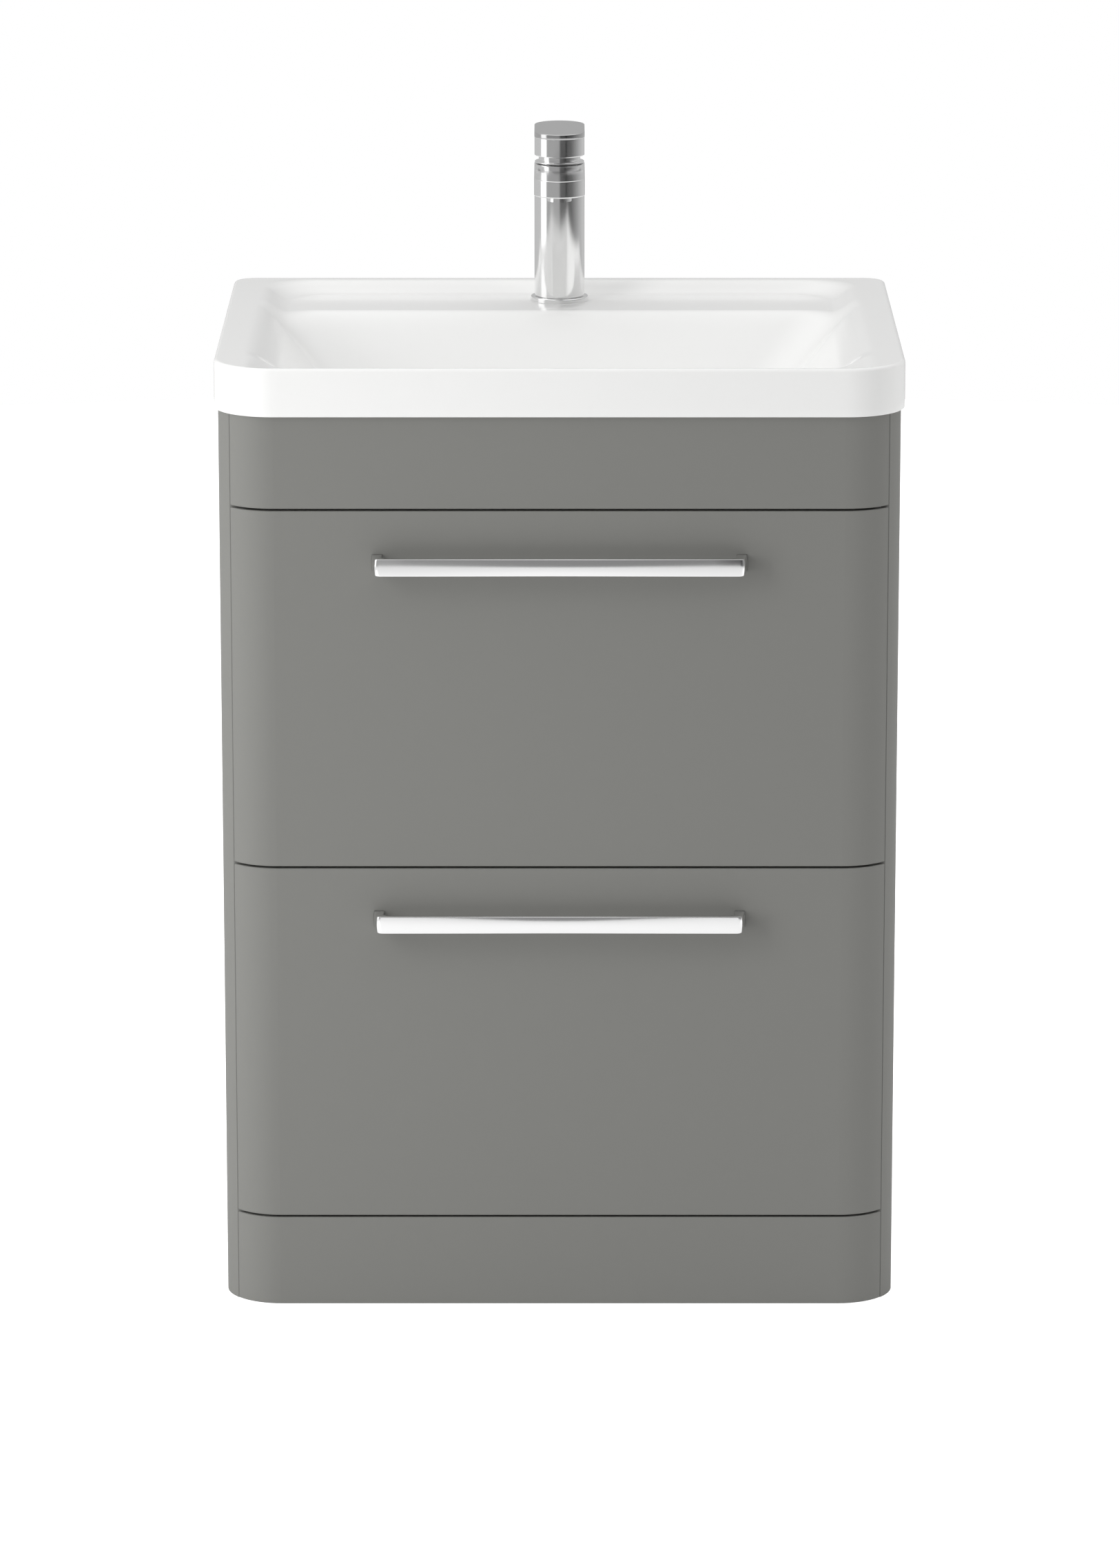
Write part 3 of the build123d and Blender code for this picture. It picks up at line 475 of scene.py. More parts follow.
def turned(name, profile, axis_y, facets, ring=False):
    """A turned piece: (r cos a, axis + r sin a, z) for each (r, z) of its profile."""
    profile = held(profile, 0.4 * MM)
    r = np.array([p[0] for p in profile])[:, None]
    z = np.array([p[1] for p in profile])[:, None]
    angle = np.linspace(0, 2 * math.pi, 2 * facets, endpoint=False)[None]
    points = np.stack([r * np.cos(angle), axis_y + r * np.sin(angle), z + 0 * angle], axis=-1)
    return welded(mesh_from_grid(name, points, wrap_rows=ring, wrap_columns=True))


def drawn_out(name, profile, axis_y, facets):
    """A piece with a stadium plan, from rows (back radius, front radius, reach, height).

    Each row is a half circle about the axis, a straight run forwards by the reach on either side, and a
    half circle of the front radius about the point that far ahead.
    """
    half = np.linspace(0, math.pi, facets + 1)
    rows = []
    for back, front, ahead, z in profile:
        rear = np.stack([back * np.cos(half), axis_y + back * np.sin(half)], axis=-1)
        fore = np.stack([-front * np.cos(half), axis_y - ahead - front * np.sin(half)], axis=-1)
        sides = np.array([[-front, axis_y], [front, axis_y]])
        plan = np.concatenate([rear, sides[:1], fore, sides[1:]])
        rows.append(np.column_stack([plan, np.full(len(plan), z)]))
    return welded(mesh_from_grid(name, np.array(rows), wrap_columns=True))


def tap_axis():
    """Where the tap's axis is along Y, its column's radius and how far ahead its spout's round end is."""
    low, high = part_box("tap_body")
    radius = (high.x - low.x) / 2
    return high.y - radius, radius, high.y - low.y - 2 * radius


def base_ring(sizes):
    """A flat ring with a rounded upper edge."""
    upper = quarter(RING_HIGH.x, RING_HIGH.z, sizes.ring_edge, False)
    profile = [(RING_BORE, RING_LOW.z), (RING_HIGH.x, RING_LOW.z), *upper, (RING_BORE, RING_HIGH.z)]
    return turned("base_ring", profile, tap_axis()[0], sizes.facets, ring=True)


def column_and_spout(sizes):
    """The column from its hollow foot up, whose front half is drawn out at the top into the flat spout."""
    e = sizes.edge
    y, r, ahead = tap_axis()
    low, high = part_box("tap_body")
    foot, under = low.z + FOOT_SEAM, low.z + SPOUT_RISE
    pocket = low.z + POCKET_DEPTH
    column = [(0, pocket), (POCKET_RADIUS, pocket), (POCKET_RADIUS, low.z), (r - FOOT_INSET, low.z)]
    column += [(r - FOOT_INSET, foot), *quarter(r, foot, sizes.fine_edge, True)]
    column += [(r, low.z + 2 * MM), (r, under - MM), (r, under)]
    lower_edge = [(r - 2 * e, under), *quarter(r, under, e, True)]
    upper_edge = [*quarter(r, high.z, e, False), (r - 2 * e, high.z), (0, high.z)]
    rows = [(a, a, 0.0, z) for a, z in column]
    rows += [(r, a, ahead, z) for a, z in lower_edge]
    rows += [(r, r, ahead, under + 2 * e), (r, r, ahead, high.z - 2 * e)]
    rows += [(a, a, ahead, z) for a, z in upper_edge]
    return drawn_out("column_and_spout", rows, y, sizes.facets)


def collar(sizes):
    """A thin flange, with a spigot below and a neck above whose side is part of a ball: sqrt(R^2 - z^2)."""
    low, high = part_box("tap_collar")
    flange_z = low.z + SPIGOT_RISE
    neck_z = flange_z + FLANGE
    rise = np.linspace(neck_z, high.z, 24)
    ball = np.sqrt(NECK_RADIUS**2 - (rise - neck_z - NECK_CENTRE) ** 2)
    profile = [(NECK_BORE, low.z), (SPIGOT_RADIUS, low.z), (SPIGOT_RADIUS, flange_z)]
    for z, is_lower in ((flange_z, True), (neck_z, False)):
        profile += quarter(high.x, z, sizes.fine_edge, is_lower)
    profile += [*zip(ball, rise), (NECK_BORE, high.z)]
    return turned("collar", profile, tap_axis()[0], sizes.facets, ring=True)


def knob(sizes):
    """A round knob that is hollow from below, with a finer edge at the top, where the lever's seam is."""
    low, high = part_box("tap_knob")
    ceiling = high.z - KNOB_CEILING
    profile = [(0, ceiling), (KNOB_POCKET, ceiling), (KNOB_POCKET, low.z)]
    profile += quarter(high.x, low.z, sizes.edge, True)
    profile += quarter(high.x, high.z, SEAM_SHARE * sizes.edge, False)
    return turned("knob", profile + [(0, high.z)], tap_axis()[0], sizes.facets)


def lever(sizes):
    """The flat blade over the knob, with a finer edge below than above."""
    e = sizes.edge
    low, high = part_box("tap_lever")
    r = high.x
    ahead = high.y - low.y - 2 * r
    edge = [(0, low.z), (r - 2 * e, low.z), *quarter(r, low.z, SEAM_SHARE * e, True)]
    edge += [*quarter(r, high.z, e, False), (r - 2 * e, high.z), (0, high.z)]
    return drawn_out("lever", [(a, a, ahead, z) for a, z in edge], tap_axis()[0], sizes.facets)


TAP_PIECES = (
    (base_ring, "carcass", "chrome", "tap_base_ring"),
    (column_and_spout, "carcass", "chrome", "tap_body"),
    (collar, "carcass", "chrome", "tap_collar"),
    (knob, "tap_tilting", "chrome", "tap_knob"),
    (lever, "tap_tilting", "satin_chrome", "tap_lever"),
)


def bent_line(foot, corner, radius, steps):
    """Half of a handle's plan: from its foot, round its corner's arc and to the middle, as (x, y) points.

    The arc's centre is the radius inside both the leaning leg and the bar, and its points are
    centre + radius (sin t, -cos t), with t falling to nought from a quarter turn and the leg's lean. The
    leg runs straight from the foot to the arc's first point.
    """
    (fx, fy), (cx, cy) = foot, corner
    lean = math.atan2(fx - cx, fy - cy)
    centre_y = cy + radius
    centre_x = cx + radius * math.tan(lean) - radius / math.cos(lean)
    turn = np.linspace(math.pi / 2 + lean, 0, steps)
    arc = np.stack([centre_x + radius * np.sin(turn), centre_y - radius * np.cos(turn)], axis=-1)
    leg = np.array([fx, fy]) + np.linspace(0, 1, 5)[:-1, None] * (arc[0] - np.array([fx, fy]))
    bar = np.stack([np.linspace(arc[-1][0], 0, 8)[1:], np.full(7, cy)], axis=-1)
    return np.concatenate([leg, arc, bar])


def bar_section(sizes, half):
    """The bar's section as rows (depth, share of the bar's thickness added to it, height).

    The front face is R - sqrt(R^2 - z^2) behind the plan's outer line, the long edges are quarter circles,
    and the back lies on the plan's inner line.
    """
    e = sizes.edge
    z = np.linspace(-(half - e), half - e, 21)
    bow = sizes.crown - np.sqrt(sizes.crown**2 - z**2)
    turn = np.linspace(0, math.pi / 2, 5)[1:]
    rear_turn = np.linspace(0, math.pi / 2, 4)
    front = [(b, 0.0, h) for b, h in zip(bow, z)]
    upper = [(bow[-1] + e * (1 - math.cos(t)), 0.0, half - e * (1 - math.sin(t))) for t in turn]
    rear = [(-e * (1 - math.sin(t)), 1.0, half - e * (1 - math.cos(t))) for t in rear_turn]
    lower = [(depth, share_in, -height) for depth, share_in, height in reversed(upper + rear)]
    return np.array(front + upper + rear + lower)


def handle_surface(name, sizes, low, high):
    """A bar with a bowed front, bent back at both ends.

    Its section is carried along pairs of points, one on the plan's outer line and one on the inner.
    """
    x, y0, y1 = high.x, low.y, high.y
    outer = bent_line((x, y1), (x - sizes.taper, y0), sizes.outer_radius, 13)
    inner = bent_line(
        (x - sizes.foot, y1), (x - sizes.taper - sizes.strap, y0 + sizes.strap), sizes.inner_radius, 13
    )
    outer, inner = (np.concatenate([line, line[-2::-1] * (-1, 1)]) for line in (outer, inner))
    thickness = np.linalg.norm(inner - outer, axis=1, keepdims=True)
    across = (inner - outer) / thickness
    depth, added, height = bar_section(sizes, (high.z - low.z) / 2).T
    plan = outer[:, None] + across[:, None] * (depth + added * thickness)[..., None]
    z = np.broadcast_to(((low.z + high.z) / 2 + height)[None, :, None], plan.shape[:2] + (1,))
    points = np.concatenate([plan, z], axis=-1)
    first, last = (np.broadcast_to(points[i].mean(0), points[i].shape)[None] for i in (0, -1))
    return welded(mesh_from_grid(name, np.concatenate([first, points, last]), wrap_columns=True))


# ---- materials


class Graph:
    """Adds nodes to a tree and joins them as they are made."""

    def __init__(self, tree):
        self.tree = tree

    def node(self, kind, inputs=None, **settings):
        made = self.tree.nodes.new(kind)
        for key, value in settings.items():
            setattr(made, key, value)
        for key, value in (inputs or {}).items():
            self.put(made.inputs[key], value)
        return made

    def put(self, socket, value):
        if isinstance(value, bpy.types.NodeSocket):
            self.tree.links.new(value, socket)
        else:
            socket.default_value = value

    def sum(self, operation, *values, clamp=False):
        made = self.tree.nodes.new("ShaderNodeMath")
        made.operation = operation
        made.use_clamp = clamp
        for socket, value in zip(made.inputs, values):
            self.put(socket, value)
        return made.outputs[0]

    def mapped(self, value, low, high, to_low, to_high):
        return self.node(
            "ShaderNodeMapRange",
            {"Value": value, "From Min": low, "From Max": high, "To Min": to_low, "To Max": to_high},
        ).outputs["Result"]

    def noise(self, vector, scale, detail=2.0, roughness=0.5, distortion=0.0):
        inputs = {"Vector": vector, "Scale": scale, "Detail": detail}
        inputs |= {"Roughness": roughness, "Distortion": distortion}
        return self.node("ShaderNodeTexNoise", inputs).outputs[0]

    def tinted(self, colour_value, factor):
        """A colour times a value."""
        scaled = self.node("ShaderNodeVectorMath", {0: colour_value, "Scale": factor}, operation="SCALE")
        return scaled.outputs[0]

    def stretched(self, vector, scale):
        return self.node("ShaderNodeMapping", {"Vector": vector, "Scale": scale}).outputs[0]

    def varied(self, value, mask, low, high):
        """A value plus a mask's spread, whose middle part becomes low to high."""
        return self.sum("ADD", value, self.mapped(mask, 0.3, 0.7, low, high))

    def blend(self, factor, a, b):
        return self.node("ShaderNodeMix", {"Factor": factor, "A": a, "B": b}).outputs[0]


FLOAT, RGBA = "NodeSocketFloat", "NodeSocketColor"


def effect(name, base, roughness, size, *more_inputs):
    """An empty shader node group that takes a base colour, a roughness and a size, and gives a surface."""
    group = bpy.data.node_groups.new(name, "ShaderNodeTree")
    inputs = [("Base", RGBA, (*base, 1.0)), ("Roughness", FLOAT, roughness), ("Size", FLOAT, size)]
    for label, kind, default in (*inputs, *more_inputs):
        socket = group.interface.new_socket(label, in_out="INPUT", socket_type=kind)
        socket.default_value = default
    for label, kind in (("Color", RGBA), ("Roughness", FLOAT), ("Height", FLOAT)):
        group.interface.new_socket(label, in_out="OUTPUT", socket_type=kind)
    graph = Graph(group)
    enter = group.nodes.new("NodeGroupInput")
    leave = group.nodes.new("NodeGroupOutput")
    where = group.nodes.new("ShaderNodeTexCoord").outputs["Object"]
    return graph, enter.outputs, leave.inputs, where


def sprayed_effect():
    """Sprayed paint: orange-peel ripples, a slow drift of tone and faint wipe marks in the sheen."""
    graph, given, out, where = effect("Sprayed Paint", (0.2, 0.2, 0.2), 0.4, 0.0016)
    fine = graph.sum("DIVIDE", 1.0, given["Size"])
    ripple = graph.noise(where, fine, 1.0, 0.4)
    grit = graph.noise(where, graph.sum("MULTIPLY", fine, 4.2), 2.0, 0.6)
    drift = graph.noise(where, 5.0, 3.0, 0.5)
    stretch = graph.stretched(where, (3.0, 3.0, 22.0))
    wipe = graph.noise(stretch, 3.0, 4.0, 0.6, 0.8)
    tone = graph.varied(graph.mapped(drift, 0.3, 0.7, 0.985, 1.015), grit, -0.008, 0.008)
    graph.put(out["Color"], graph.tinted(given["Base"], tone))
    sheen = graph.mapped(wipe, 0.3, 0.75, -0.035, 0.045)
    graph.put(out["Roughness"], graph.sum("ADD", given["Roughness"], sheen))
    fine_part = graph.sum("MULTIPLY", grit, 0.2)
    graph.put(out["Height"], graph.sum("ADD", graph.sum("MULTIPLY", ripple, 0.8), fine_part))
    return graph.tree


def faced_board_effect():
    """Melamine facing: a pressed pearl texture with a faint vertical fleck printed under it."""
    graph, given, out, where = effect("Faced Board", (0.5, 0.5, 0.5), 0.45, 0.0011)
    fine = graph.sum("DIVIDE", 1.0, given["Size"])
    cells = graph.node("ShaderNodeTexVoronoi", {"Vector": where, "Scale": fine}, feature="SMOOTH_F1")
    stretch = graph.stretched(where, (9.0, 1.6, 9.0))
    fleck = graph.noise(stretch, 26.0, 5.0, 0.65)
    cloud = graph.noise(where, 7.0, 3.0)
    clouded = graph.mapped(cloud, 0.3, 0.7, 0.98, 1.02)
    tone = graph.sum("MULTIPLY", graph.mapped(fleck, 0.3, 0.7, 0.965, 1.03), clouded)
    graph.put(out["Color"], graph.tinted(given["Base"], tone))
    graph.put(out["Roughness"], graph.varied(given["Roughness"], fleck, -0.04, 0.05))
    graph.put(out["Height"], cells.outputs["Distance"])
    return graph.tree


def glaze_effect():
    """Fired glaze: long slow waves, tiny pinholes and a faint unevenness in white and gloss."""
    graph, given, out, where = effect("Fired Glaze", (0.85, 0.85, 0.85), 0.08, 0.035)
    long_wave = graph.noise(where, graph.sum("DIVIDE", 1.0, given["Size"]), 2.0, 0.45)
    short_wave = graph.noise(where, graph.sum("DIVIDE", 7.0, given["Size"]), 2.0, 0.5)
    cloud = graph.noise(where, 9.0, 3.0, 0.5)
    specks = graph.node("ShaderNodeTexVoronoi", {"Vector": where, "Scale": 240.0, "Randomness": 1.0})
    pin = graph.mapped(specks.outputs["Distance"], 0.02, 0.05, 0.9, 1.0)
    lot = graph.node("ShaderNodeSeparateColor", {0: specks.outputs["Color"]}).outputs[0]
    rare = graph.sum("GREATER_THAN", lot, 0.985)
    dot = graph.sum("SUBTRACT", 1.0, graph.sum("MULTIPLY", rare, graph.sum("SUBTRACT", 1.0, pin)))
    tone = graph.sum("MULTIPLY", graph.mapped(cloud, 0.3, 0.7, 0.992, 1.006), dot)
    graph.put(out["Color"], graph.tinted(given["Base"], tone))
    graph.put(out["Roughness"], graph.varied(given["Roughness"], short_wave, -0.015, 0.02))
    graph.put(out["Height"], graph.sum("ADD", long_wave, graph.sum("MULTIPLY", short_wave, 0.10)))
    return graph.tree


def plate_effect():
    """Polished plate: the hairlines left by the buffing wheel, and smudges and water marks in the polish."""
    graph, given, out, where = effect("Polished Plate", (0.85, 0.85, 0.85), 0.05, 0.0004)
    fine = graph.sum("DIVIDE", 1.0, given["Size"])
    spun = graph.stretched(where, (1.0, 1.0, 0.05))
    hairline = graph.noise(spun, fine, 2.0, 0.6)
    smudge = graph.noise(where, 38.0, 4.0, 0.6, 0.5)
    mark = graph.mapped(smudge, 0.45, 0.75, 0.0, 0.07)
    marked = graph.sum("ADD", given["Roughness"], mark)
    graph.put(out["Roughness"], graph.varied(marked, hairline, -0.01, 0.02))
    graph.put(out["Color"], graph.tinted(given["Base"], graph.mapped(smudge, 0.3, 0.8, 1.0, 0.955)))
    graph.put(out["Height"], hairline)
    return graph.tree


def brushed_effect():
    """Brushed metal: lines along X, finer lines among them, and a slow change in how deep they are."""
    graph, given, out, where = effect("Brushed Metal", (0.6, 0.6, 0.6), 0.3, 0.0003)
    fine = graph.sum("DIVIDE", 1.0, given["Size"])
    drawn = graph.stretched(where, (0.03, 1.0, 1.0))
    line = graph.noise(drawn, fine, 3.0, 0.7)
    depth = graph.noise(where, 45.0, 2.0)
    graph.put(out["Color"], graph.tinted(given["Base"], graph.mapped(line, 0.25, 0.75, 0.93, 1.06)))
    graph.put(out["Roughness"], graph.varied(given["Roughness"], line, -0.05, 0.07))
    graph.put(out["Height"], graph.sum("MULTIPLY", line, graph.mapped(depth, 0.3, 0.7, 0.6, 1.0)))
    return graph.tree


def satin_top_effect():
    """Polished plate whose upward faces are brushed: fine lines along X."""
    polished = ("Polished", RGBA, (0.86, 0.86, 0.87, 1.0)), ("Polished Roughness", FLOAT, 0.05)
    graph, given, out, where = effect("Satin Top", (0.6, 0.6, 0.6), 0.3, 0.0003, *polished)
    normal = graph.tree.nodes.new("ShaderNodeTexCoord").outputs["Normal"]
    rise = graph.node("ShaderNodeSeparateXYZ", {0: normal}).outputs["Z"]
    upward = graph.mapped(rise, 0.93, 0.995, 0.0, 1.0)
    drawn = graph.stretched(where, (0.06, 1.0, 1.0))
    line = graph.noise(drawn, graph.sum("DIVIDE", 1.0, given["Size"]), 3.0, 0.7)
    brushed = graph.tinted(given["Base"], graph.mapped(line, 0.25, 0.75, 0.93, 1.06))
    mixed = graph.node("ShaderNodeMix", {"Factor": upward}, data_type="RGBA")
    graph.put(mixed.inputs[6], given["Polished"])
    graph.put(mixed.inputs[7], brushed)
    graph.put(out["Color"], mixed.outputs[2])
    rough = graph.varied(given["Roughness"], line, -0.05, 0.07)
    graph.put(out["Roughness"], graph.blend(upward, given["Polished Roughness"], rough))
    graph.put(out["Height"], graph.sum("MULTIPLY", line, upward))
    return graph.tree


def zinc_effect():
    """Zinc plate on rolled strip: soft cloudy crystals over fine lines along the strip."""
    graph, given, out, where = effect("Zinc Plate", (0.55, 0.56, 0.57), 0.34, 0.006)
    fine = graph.sum("DIVIDE", 1.0, given["Size"])
    crystal = graph.node("ShaderNodeTexVoronoi", {"Vector": where, "Scale": fine})
    shade = graph.node("ShaderNodeSeparateColor", {0: crystal.outputs["Color"]}).outputs[0]
    rolled = graph.stretched(where, (1.0, 0.02, 1.0))
    line = graph.noise(rolled, 1800.0, 2.0, 0.6)
    lined = graph.mapped(line, 0.3, 0.7, 0.96, 1.03)
    tone = graph.sum("MULTIPLY", graph.mapped(shade, 0.0, 1.0, 0.92, 1.06), lined)
    graph.put(out["Color"], graph.tinted(given["Base"], tone))
    dulled = graph.mapped(shade, 0.0, 1.0, -0.06, 0.08)
    graph.put(out["Roughness"], graph.sum("ADD", given["Roughness"], dulled))
    graph.put(out["Height"], line)
    return graph.tree


def moulded_effect():
    """Moulded plastic or rubber: spark-eroded grain, with a slow drift in tone and sheen."""
    graph, given, out, where = effect("Moulded Grain", (0.3, 0.3, 0.3), 0.5, 0.0006)
    grain = graph.noise(where, graph.sum("DIVIDE", 1.0, given["Size"]), 3.0, 0.6)
    drift = graph.noise(where, 60.0, 2.0)
    graph.put(out["Color"], graph.tinted(given["Base"], graph.mapped(drift, 0.3, 0.7, 0.94, 1.07)))
    graph.put(out["Roughness"], graph.varied(given["Roughness"], drift, -0.06, 0.06))
    graph.put(out["Height"], grain)
    return graph.tree


EFFECTS = {
    "Sprayed Paint": sprayed_effect,
    "Faced Board": faced_board_effect,
    "Fired Glaze": glaze_effect,
    "Polished Plate": plate_effect,
    "Brushed Metal": brushed_effect,
    "Satin Top": satin_top_effect,
    "Zinc Plate": zinc_effect,
    "Moulded Grain": moulded_effect,
}


def finish_material(name, effect_name, base, roughness, size, bump, constants=None):
    """A material whose colour, roughness and bump come from one of the shared effects."""
    if name in bpy.data.materials:
        return bpy.data.materials[name]
    material = bpy.data.materials.new(name)
    material.use_nodes = True
    graph = Graph(material.node_tree)
    shader = material.node_tree.nodes["Principled BSDF"]
    if effect_name not in bpy.data.node_groups:
        EFFECTS[effect_name]()
    group = graph.node("ShaderNodeGroup", node_tree=bpy.data.node_groups[effect_name])
    group.inputs["Base"].default_value = (*base, 1.0)
    group.inputs["Roughness"].default_value = roughness
    group.inputs["Size"].default_value = size
    height = group.outputs["Height"]
    relief = graph.node("ShaderNodeBump", {"Height": height, "Distance": bump, "Strength": 1.0})
    graph.put(shader.inputs["Base Color"], group.outputs["Color"])
    graph.put(shader.inputs["Roughness"], group.outputs["Roughness"])
    graph.put(shader.inputs["Normal"], relief.outputs["Normal"])
    for socket, value in (constants or {}).items():
        shader.inputs[socket].default_value = value
    return material


def finish_of(slot):
    """The material of one of the record's slots."""
    f = bpy.context.scene.vanity_finishes
    recipes = {
        "painted_board": ("Sprayed Paint", f.paint, f.paint_roughness, f.peel, 0.006 * MM, {}),
        "carcass_board": ("Faced Board", f.melamine, 0.48, 1.1 * MM, 0.03 * MM, {}),
        "drawer_board": ("Faced Board", f.lining, 0.46, 1.1 * MM, 0.03 * MM, {}),
        "ceramic": ("Fired Glaze", f.glaze, f.glaze_roughness, 35 * MM, 0.02 * MM, {"IOR": 1.52}),
        "chrome": ("Polished Plate", f.chrome, 0.05, 0.4 * MM, 0.0006 * MM, {"Metallic": 1.0}),
        "satin_chrome": ("Satin Top", f.satin_chrome, 0.30, 0.3 * MM, 0.004 * MM, {"Metallic": 1.0}),
        "runner_steel": ("Zinc Plate", f.zinc, 0.34, 6 * MM, 0.006 * MM, {"Metallic": 1.0}),
        "bare_steel": ("Brushed Metal", f.steel, 0.36, 0.4 * MM, 0.006 * MM, {"Metallic": 1.0}),
        "grey_plastic": ("Moulded Grain", f.plastic, 0.5, 0.6 * MM, 0.02 * MM, {}),
        "rubber": ("Moulded Grain", f.rubber, 0.7, 0.5 * MM, 0.03 * MM, {}),
    }
    effect_name, base, roughness, size, bump, constants = recipes[slot]
    return finish_material(slot, effect_name, tuple(base), roughness, size, bump, constants)


def paint_slot(*slots):
    """Gives every shown CAD node of these slots its material."""
    for part in frame["record"]["subparts"]:
        if part["material_slot"] in slots:
            node = frame["nodes"][part["node"]]
            material = finish_of(part["material_slot"])
            if not node.material_slots:
                node.data.materials.append(material)
            for held in node.material_slots:
                held.material = material


# ---- operators


class VANITY_OT_boards(Operator):
    """Satin grey paint on the fronts and sides, melamine on the inner boards and the drawer boxes"""

    bl_idname = "vanity.boards"
    bl_label = "Boards"

    def execute(self, context):
        paint_slot("painted_board", "carcass_board", "drawer_board")
        return {"FINISHED"}


class VANITY_OT_hardware(Operator):
    """Zinc plate on the runners and screws, steel, plastic and rubber on the hidden fixings"""

    bl_idname = "vanity.hardware"
    bl_label = "Runners and fixings"

    def execute(self, context):
        paint_slot("runner_steel", "bare_steel", "grey_plastic", "rubber")
        return {"FINISHED"}


class VANITY_OT_basin(Operator):
    """The glazed basin as one smooth surface, in place of its CAD solid"""

    bl_idname = "vanity.basin"
    bl_label = "Basin"

    def execute(self, context):
        mesh = basin_surface(context.scene.vanity_basin)
        place("ceramic_basin", mesh, "carcass", "ceramic", finish_of("ceramic"), "basin")
        return {"FINISHED"}


class VANITY_OT_chrome(Operator):
    """Chrome on the tap, the handles and the waste, and satin chrome on the lever"""

    bl_idname = "vanity.chrome"
    bl_label = "Chrome"

    def execute(self, context):
        paint_slot("chrome", "satin_chrome")
        return {"FINISHED"}


class VANITY_OT_tap(Operator):
    """The tap's ring, column, spout, collar, knob and lever as smooth surfaces, for their CAD solids"""

    bl_idname = "vanity.tap"
    bl_label = "Tap"

    def execute(self, context):
        for build, body, slot, node in TAP_PIECES:
            mesh = build(context.scene.vanity_tap)
            place(build.__name__, mesh, body, slot, finish_of(slot), node)
        return {"FINISHED"}


class VANITY_OT_handles(Operator):
    """The two bar handles as smooth surfaces, in place of their CAD solids"""

    bl_idname = "vanity.handles"
    bl_label = "Handles"

    def execute(self, context):
        for level in ("lower", "upper"):
            name = f"{level}_bar_handle"
            mesh = handle_surface(name, context.scene.vanity_handles, *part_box(f"{level}_handle"))
            place(name, mesh, f"{level}_drawer", "chrome", finish_of("chrome"), f"{level}_handle")
        return {"FINISHED"}


class VANITY_OT_stage(Operator):
    """The floor, the soft studio light and the camera"""

    bl_idname = "vanity.stage"
    bl_label = "Stage"

    def execute(self, context):
        s = context.scene.vanity_stage
        context.scene.view_settings.view_transform = "Standard"
        add_floor(s)
        add_room_light(s)
        add_lights(s)
        camera = bpy.data.objects.new("camera", bpy.data.cameras.new("camera"))
        context.scene.collection.objects.link(camera)
        camera.location = (0, FRONT_LOW.y - s.camera_distance, s.camera_height)
        camera.rotation_euler = (math.pi / 2 - s.camera_tilt, 0, 0)
        camera.data.lens = s.camera_lens
        camera.data.clip_end = 100
        context.scene.camera = camera
        return {"FINISHED"}


def add_floor(s):
    """A wide flat disc, pale and plain: rings of a circle's points at even angles."""
    angle = np.linspace(0, 2 * math.pi, 96, endpoint=False)
    radii = np.array(FLOOR_RADII)[:, None]
    points = np.stack([radii * np.cos(angle), radii * np.sin(angle), 0 * radii * angle], axis=-1)
    floor = bpy.data.objects.new("floor", mesh_from_grid("floor", points, wrap_columns=True))
    bpy.context.scene.collection.objects.link(floor)
    floor.location.z = -FLOOR_DROP
    material = bpy.data.materials.new("floor")
    material.use_nodes = True
    shader = material.node_tree.nodes["Principled BSDF"]
    shader.inputs["Base Color"].default_value = (*s.floor, 1.0)
    shader.inputs["Roughness"].default_value = 0.9
    shader.inputs["Specular IOR Level"].default_value = 0.1
    shader.inputs["Emission Color"].default_value = (1, 1, 1, 1)
    graph = Graph(material.node_tree)
    seen = material.node_tree.nodes.new("ShaderNodeLightPath").outputs["Is Camera Ray"]
    graph.put(shader.inputs["Emission Strength"], graph.mapped(seen, 0.0, 1.0, 0.1, s.floor_glow))
    floor.data.materials.append(material)


def add_room_light(s):
    """Soft light from all round, brightest above and at the left, and plain white as seen by the camera."""
    world = bpy.data.worlds.new("room")
    bpy.context.scene.world = world
    world.use_nodes = True
    graph = Graph(world.node_tree)
    background = world.node_tree.nodes["Background"]
    where = world.node_tree.nodes.new("ShaderNodeTexCoord").outputs["Generated"]
    split = graph.node("ShaderNodeSeparateXYZ", {0: where})
    turn = graph.sum("ARCTAN2", split.outputs["X"], graph.sum("MULTIPLY", split.outputs["Y"], -1.0))
    around = graph.mapped(turn, -math.pi, math.pi, 0.0, 1.0)
    ramp = graph.node("ShaderNodeValToRGB", {0: around})
    ramp.color_ramp.interpolation = "LINEAR"
    stops = [((degrees + 180) / 360, level / ROOM_TOP) for degrees, level in ROOM]
    ramp.color_ramp.elements[0].position = stops[0][0]
    ramp.color_ramp.elements[1].position = stops[-1][0]
    for position, _ in stops[1:-1]:
        ramp.color_ramp.elements.new(position)
    for element, (_, level) in zip(ramp.color_ramp.elements, stops):
        element.color = (level, level, level, 1)
    height = {"Value": split.outputs["Z"], "From Min": OVERHEAD_FROM, "From Max": OVERHEAD_TO}
    overhead = graph.node("ShaderNodeMapRange", height, interpolation_type="SMOOTHSTEP").outputs["Result"]
    level = graph.blend(overhead, graph.sum("MULTIPLY", ramp.outputs["Color"], ROOM_TOP), OVERHEAD)
    seen = world.node_tree.nodes.new("ShaderNodeLightPath").outputs["Is Camera Ray"]
    strength = graph.blend(seen, graph.sum("MULTIPLY", level, s.world_strength), 1.0)
    background.inputs["Color"].default_value = (1, 1, 1, 1)
    graph.put(background.inputs["Strength"], strength)


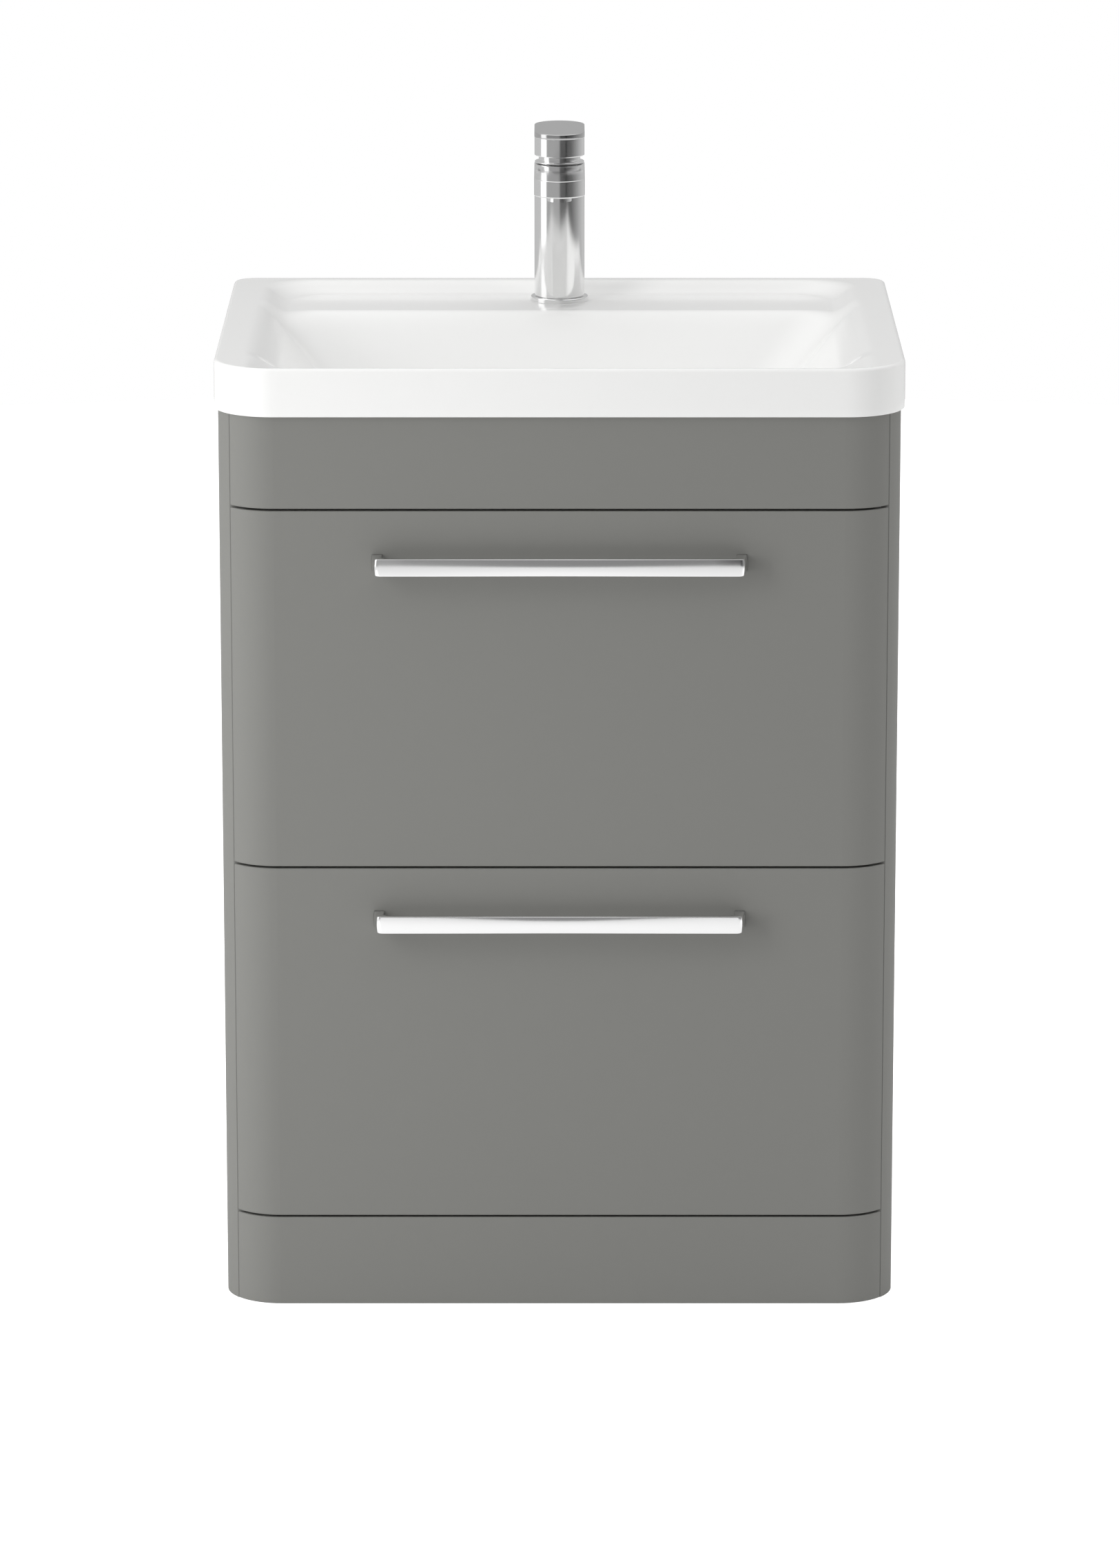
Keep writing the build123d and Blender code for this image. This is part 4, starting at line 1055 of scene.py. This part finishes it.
def add_light(name, location, size, power):
    """A rectangular soft light that faces the cabinet; it isn't mirrored in the chrome or the glaze."""
    data = bpy.data.lights.new(name, "AREA")
    data.shape = "RECTANGLE"
    data.size, data.size_y = size
    data.energy = power
    lamp = bpy.data.objects.new(name, data)
    bpy.context.scene.collection.objects.link(lamp)
    lamp.location = location
    lamp.rotation_euler = (Vector(LIGHT_TARGET) - Vector(location)).to_track_quat("-Z", "Y").to_euler()
    lamp.visible_camera = False
    lamp.visible_glossy = False


def add_lights(s):
    """A large key light at the left front and a weaker one at the right."""
    add_light("key", KEY_PLACE, KEY_SIZE, s.key_power)
    add_light("fill", FILL_PLACE, FILL_SIZE, s.fill_power)


OPERATORS = (
    VANITY_OT_boards,
    VANITY_OT_hardware,
    VANITY_OT_basin,
    VANITY_OT_chrome,
    VANITY_OT_tap,
    VANITY_OT_handles,
    VANITY_OT_stage,
)


class VANITY_PT_sidebar(Panel):
    """Lists the steps and their settings"""

    bl_idname = "VANITY_PT_sidebar"
    bl_label = "Vanity Cabinet"
    bl_space_type = "VIEW_3D"
    bl_region_type = "UI"
    bl_category = "Vanity"

    def draw(self, context):
        for group in (getattr(context.scene, name) for name in GROUPS):
            box = self.layout.box()
            for name in group.bl_rna.properties.keys():
                if name not in ("rna_type", "name"):
                    box.prop(group, name)
        for operator in OPERATORS:
            self.layout.operator(operator.bl_idname)


GROUPS = {
    "vanity_finishes": VanityFinishes,
    "vanity_basin": VanityBasin,
    "vanity_tap": VanityTap,
    "vanity_handles": VanityHandles,
    "vanity_stage": VanityStage,
}


def register():
    for cls in (*GROUPS.values(), *OPERATORS, VANITY_PT_sidebar):
        bpy.utils.register_class(cls)
    for name, group in GROUPS.items():
        setattr(bpy.types.Scene, name, PointerProperty(type=group))


def unregister():
    for name in GROUPS:
        delattr(bpy.types.Scene, name)
    for cls in (VANITY_PT_sidebar, *reversed(OPERATORS), *reversed(GROUPS.values())):
        bpy.utils.unregister_class(cls)


def main():
    register()
    bpy.ops.vanity.boards()
    bpy.ops.vanity.hardware()
    bpy.ops.vanity.basin()
    bpy.ops.vanity.chrome()
    bpy.ops.vanity.tap()
    bpy.ops.vanity.handles()
    bpy.ops.vanity.stage()


if __name__ == "__main__":
    main()
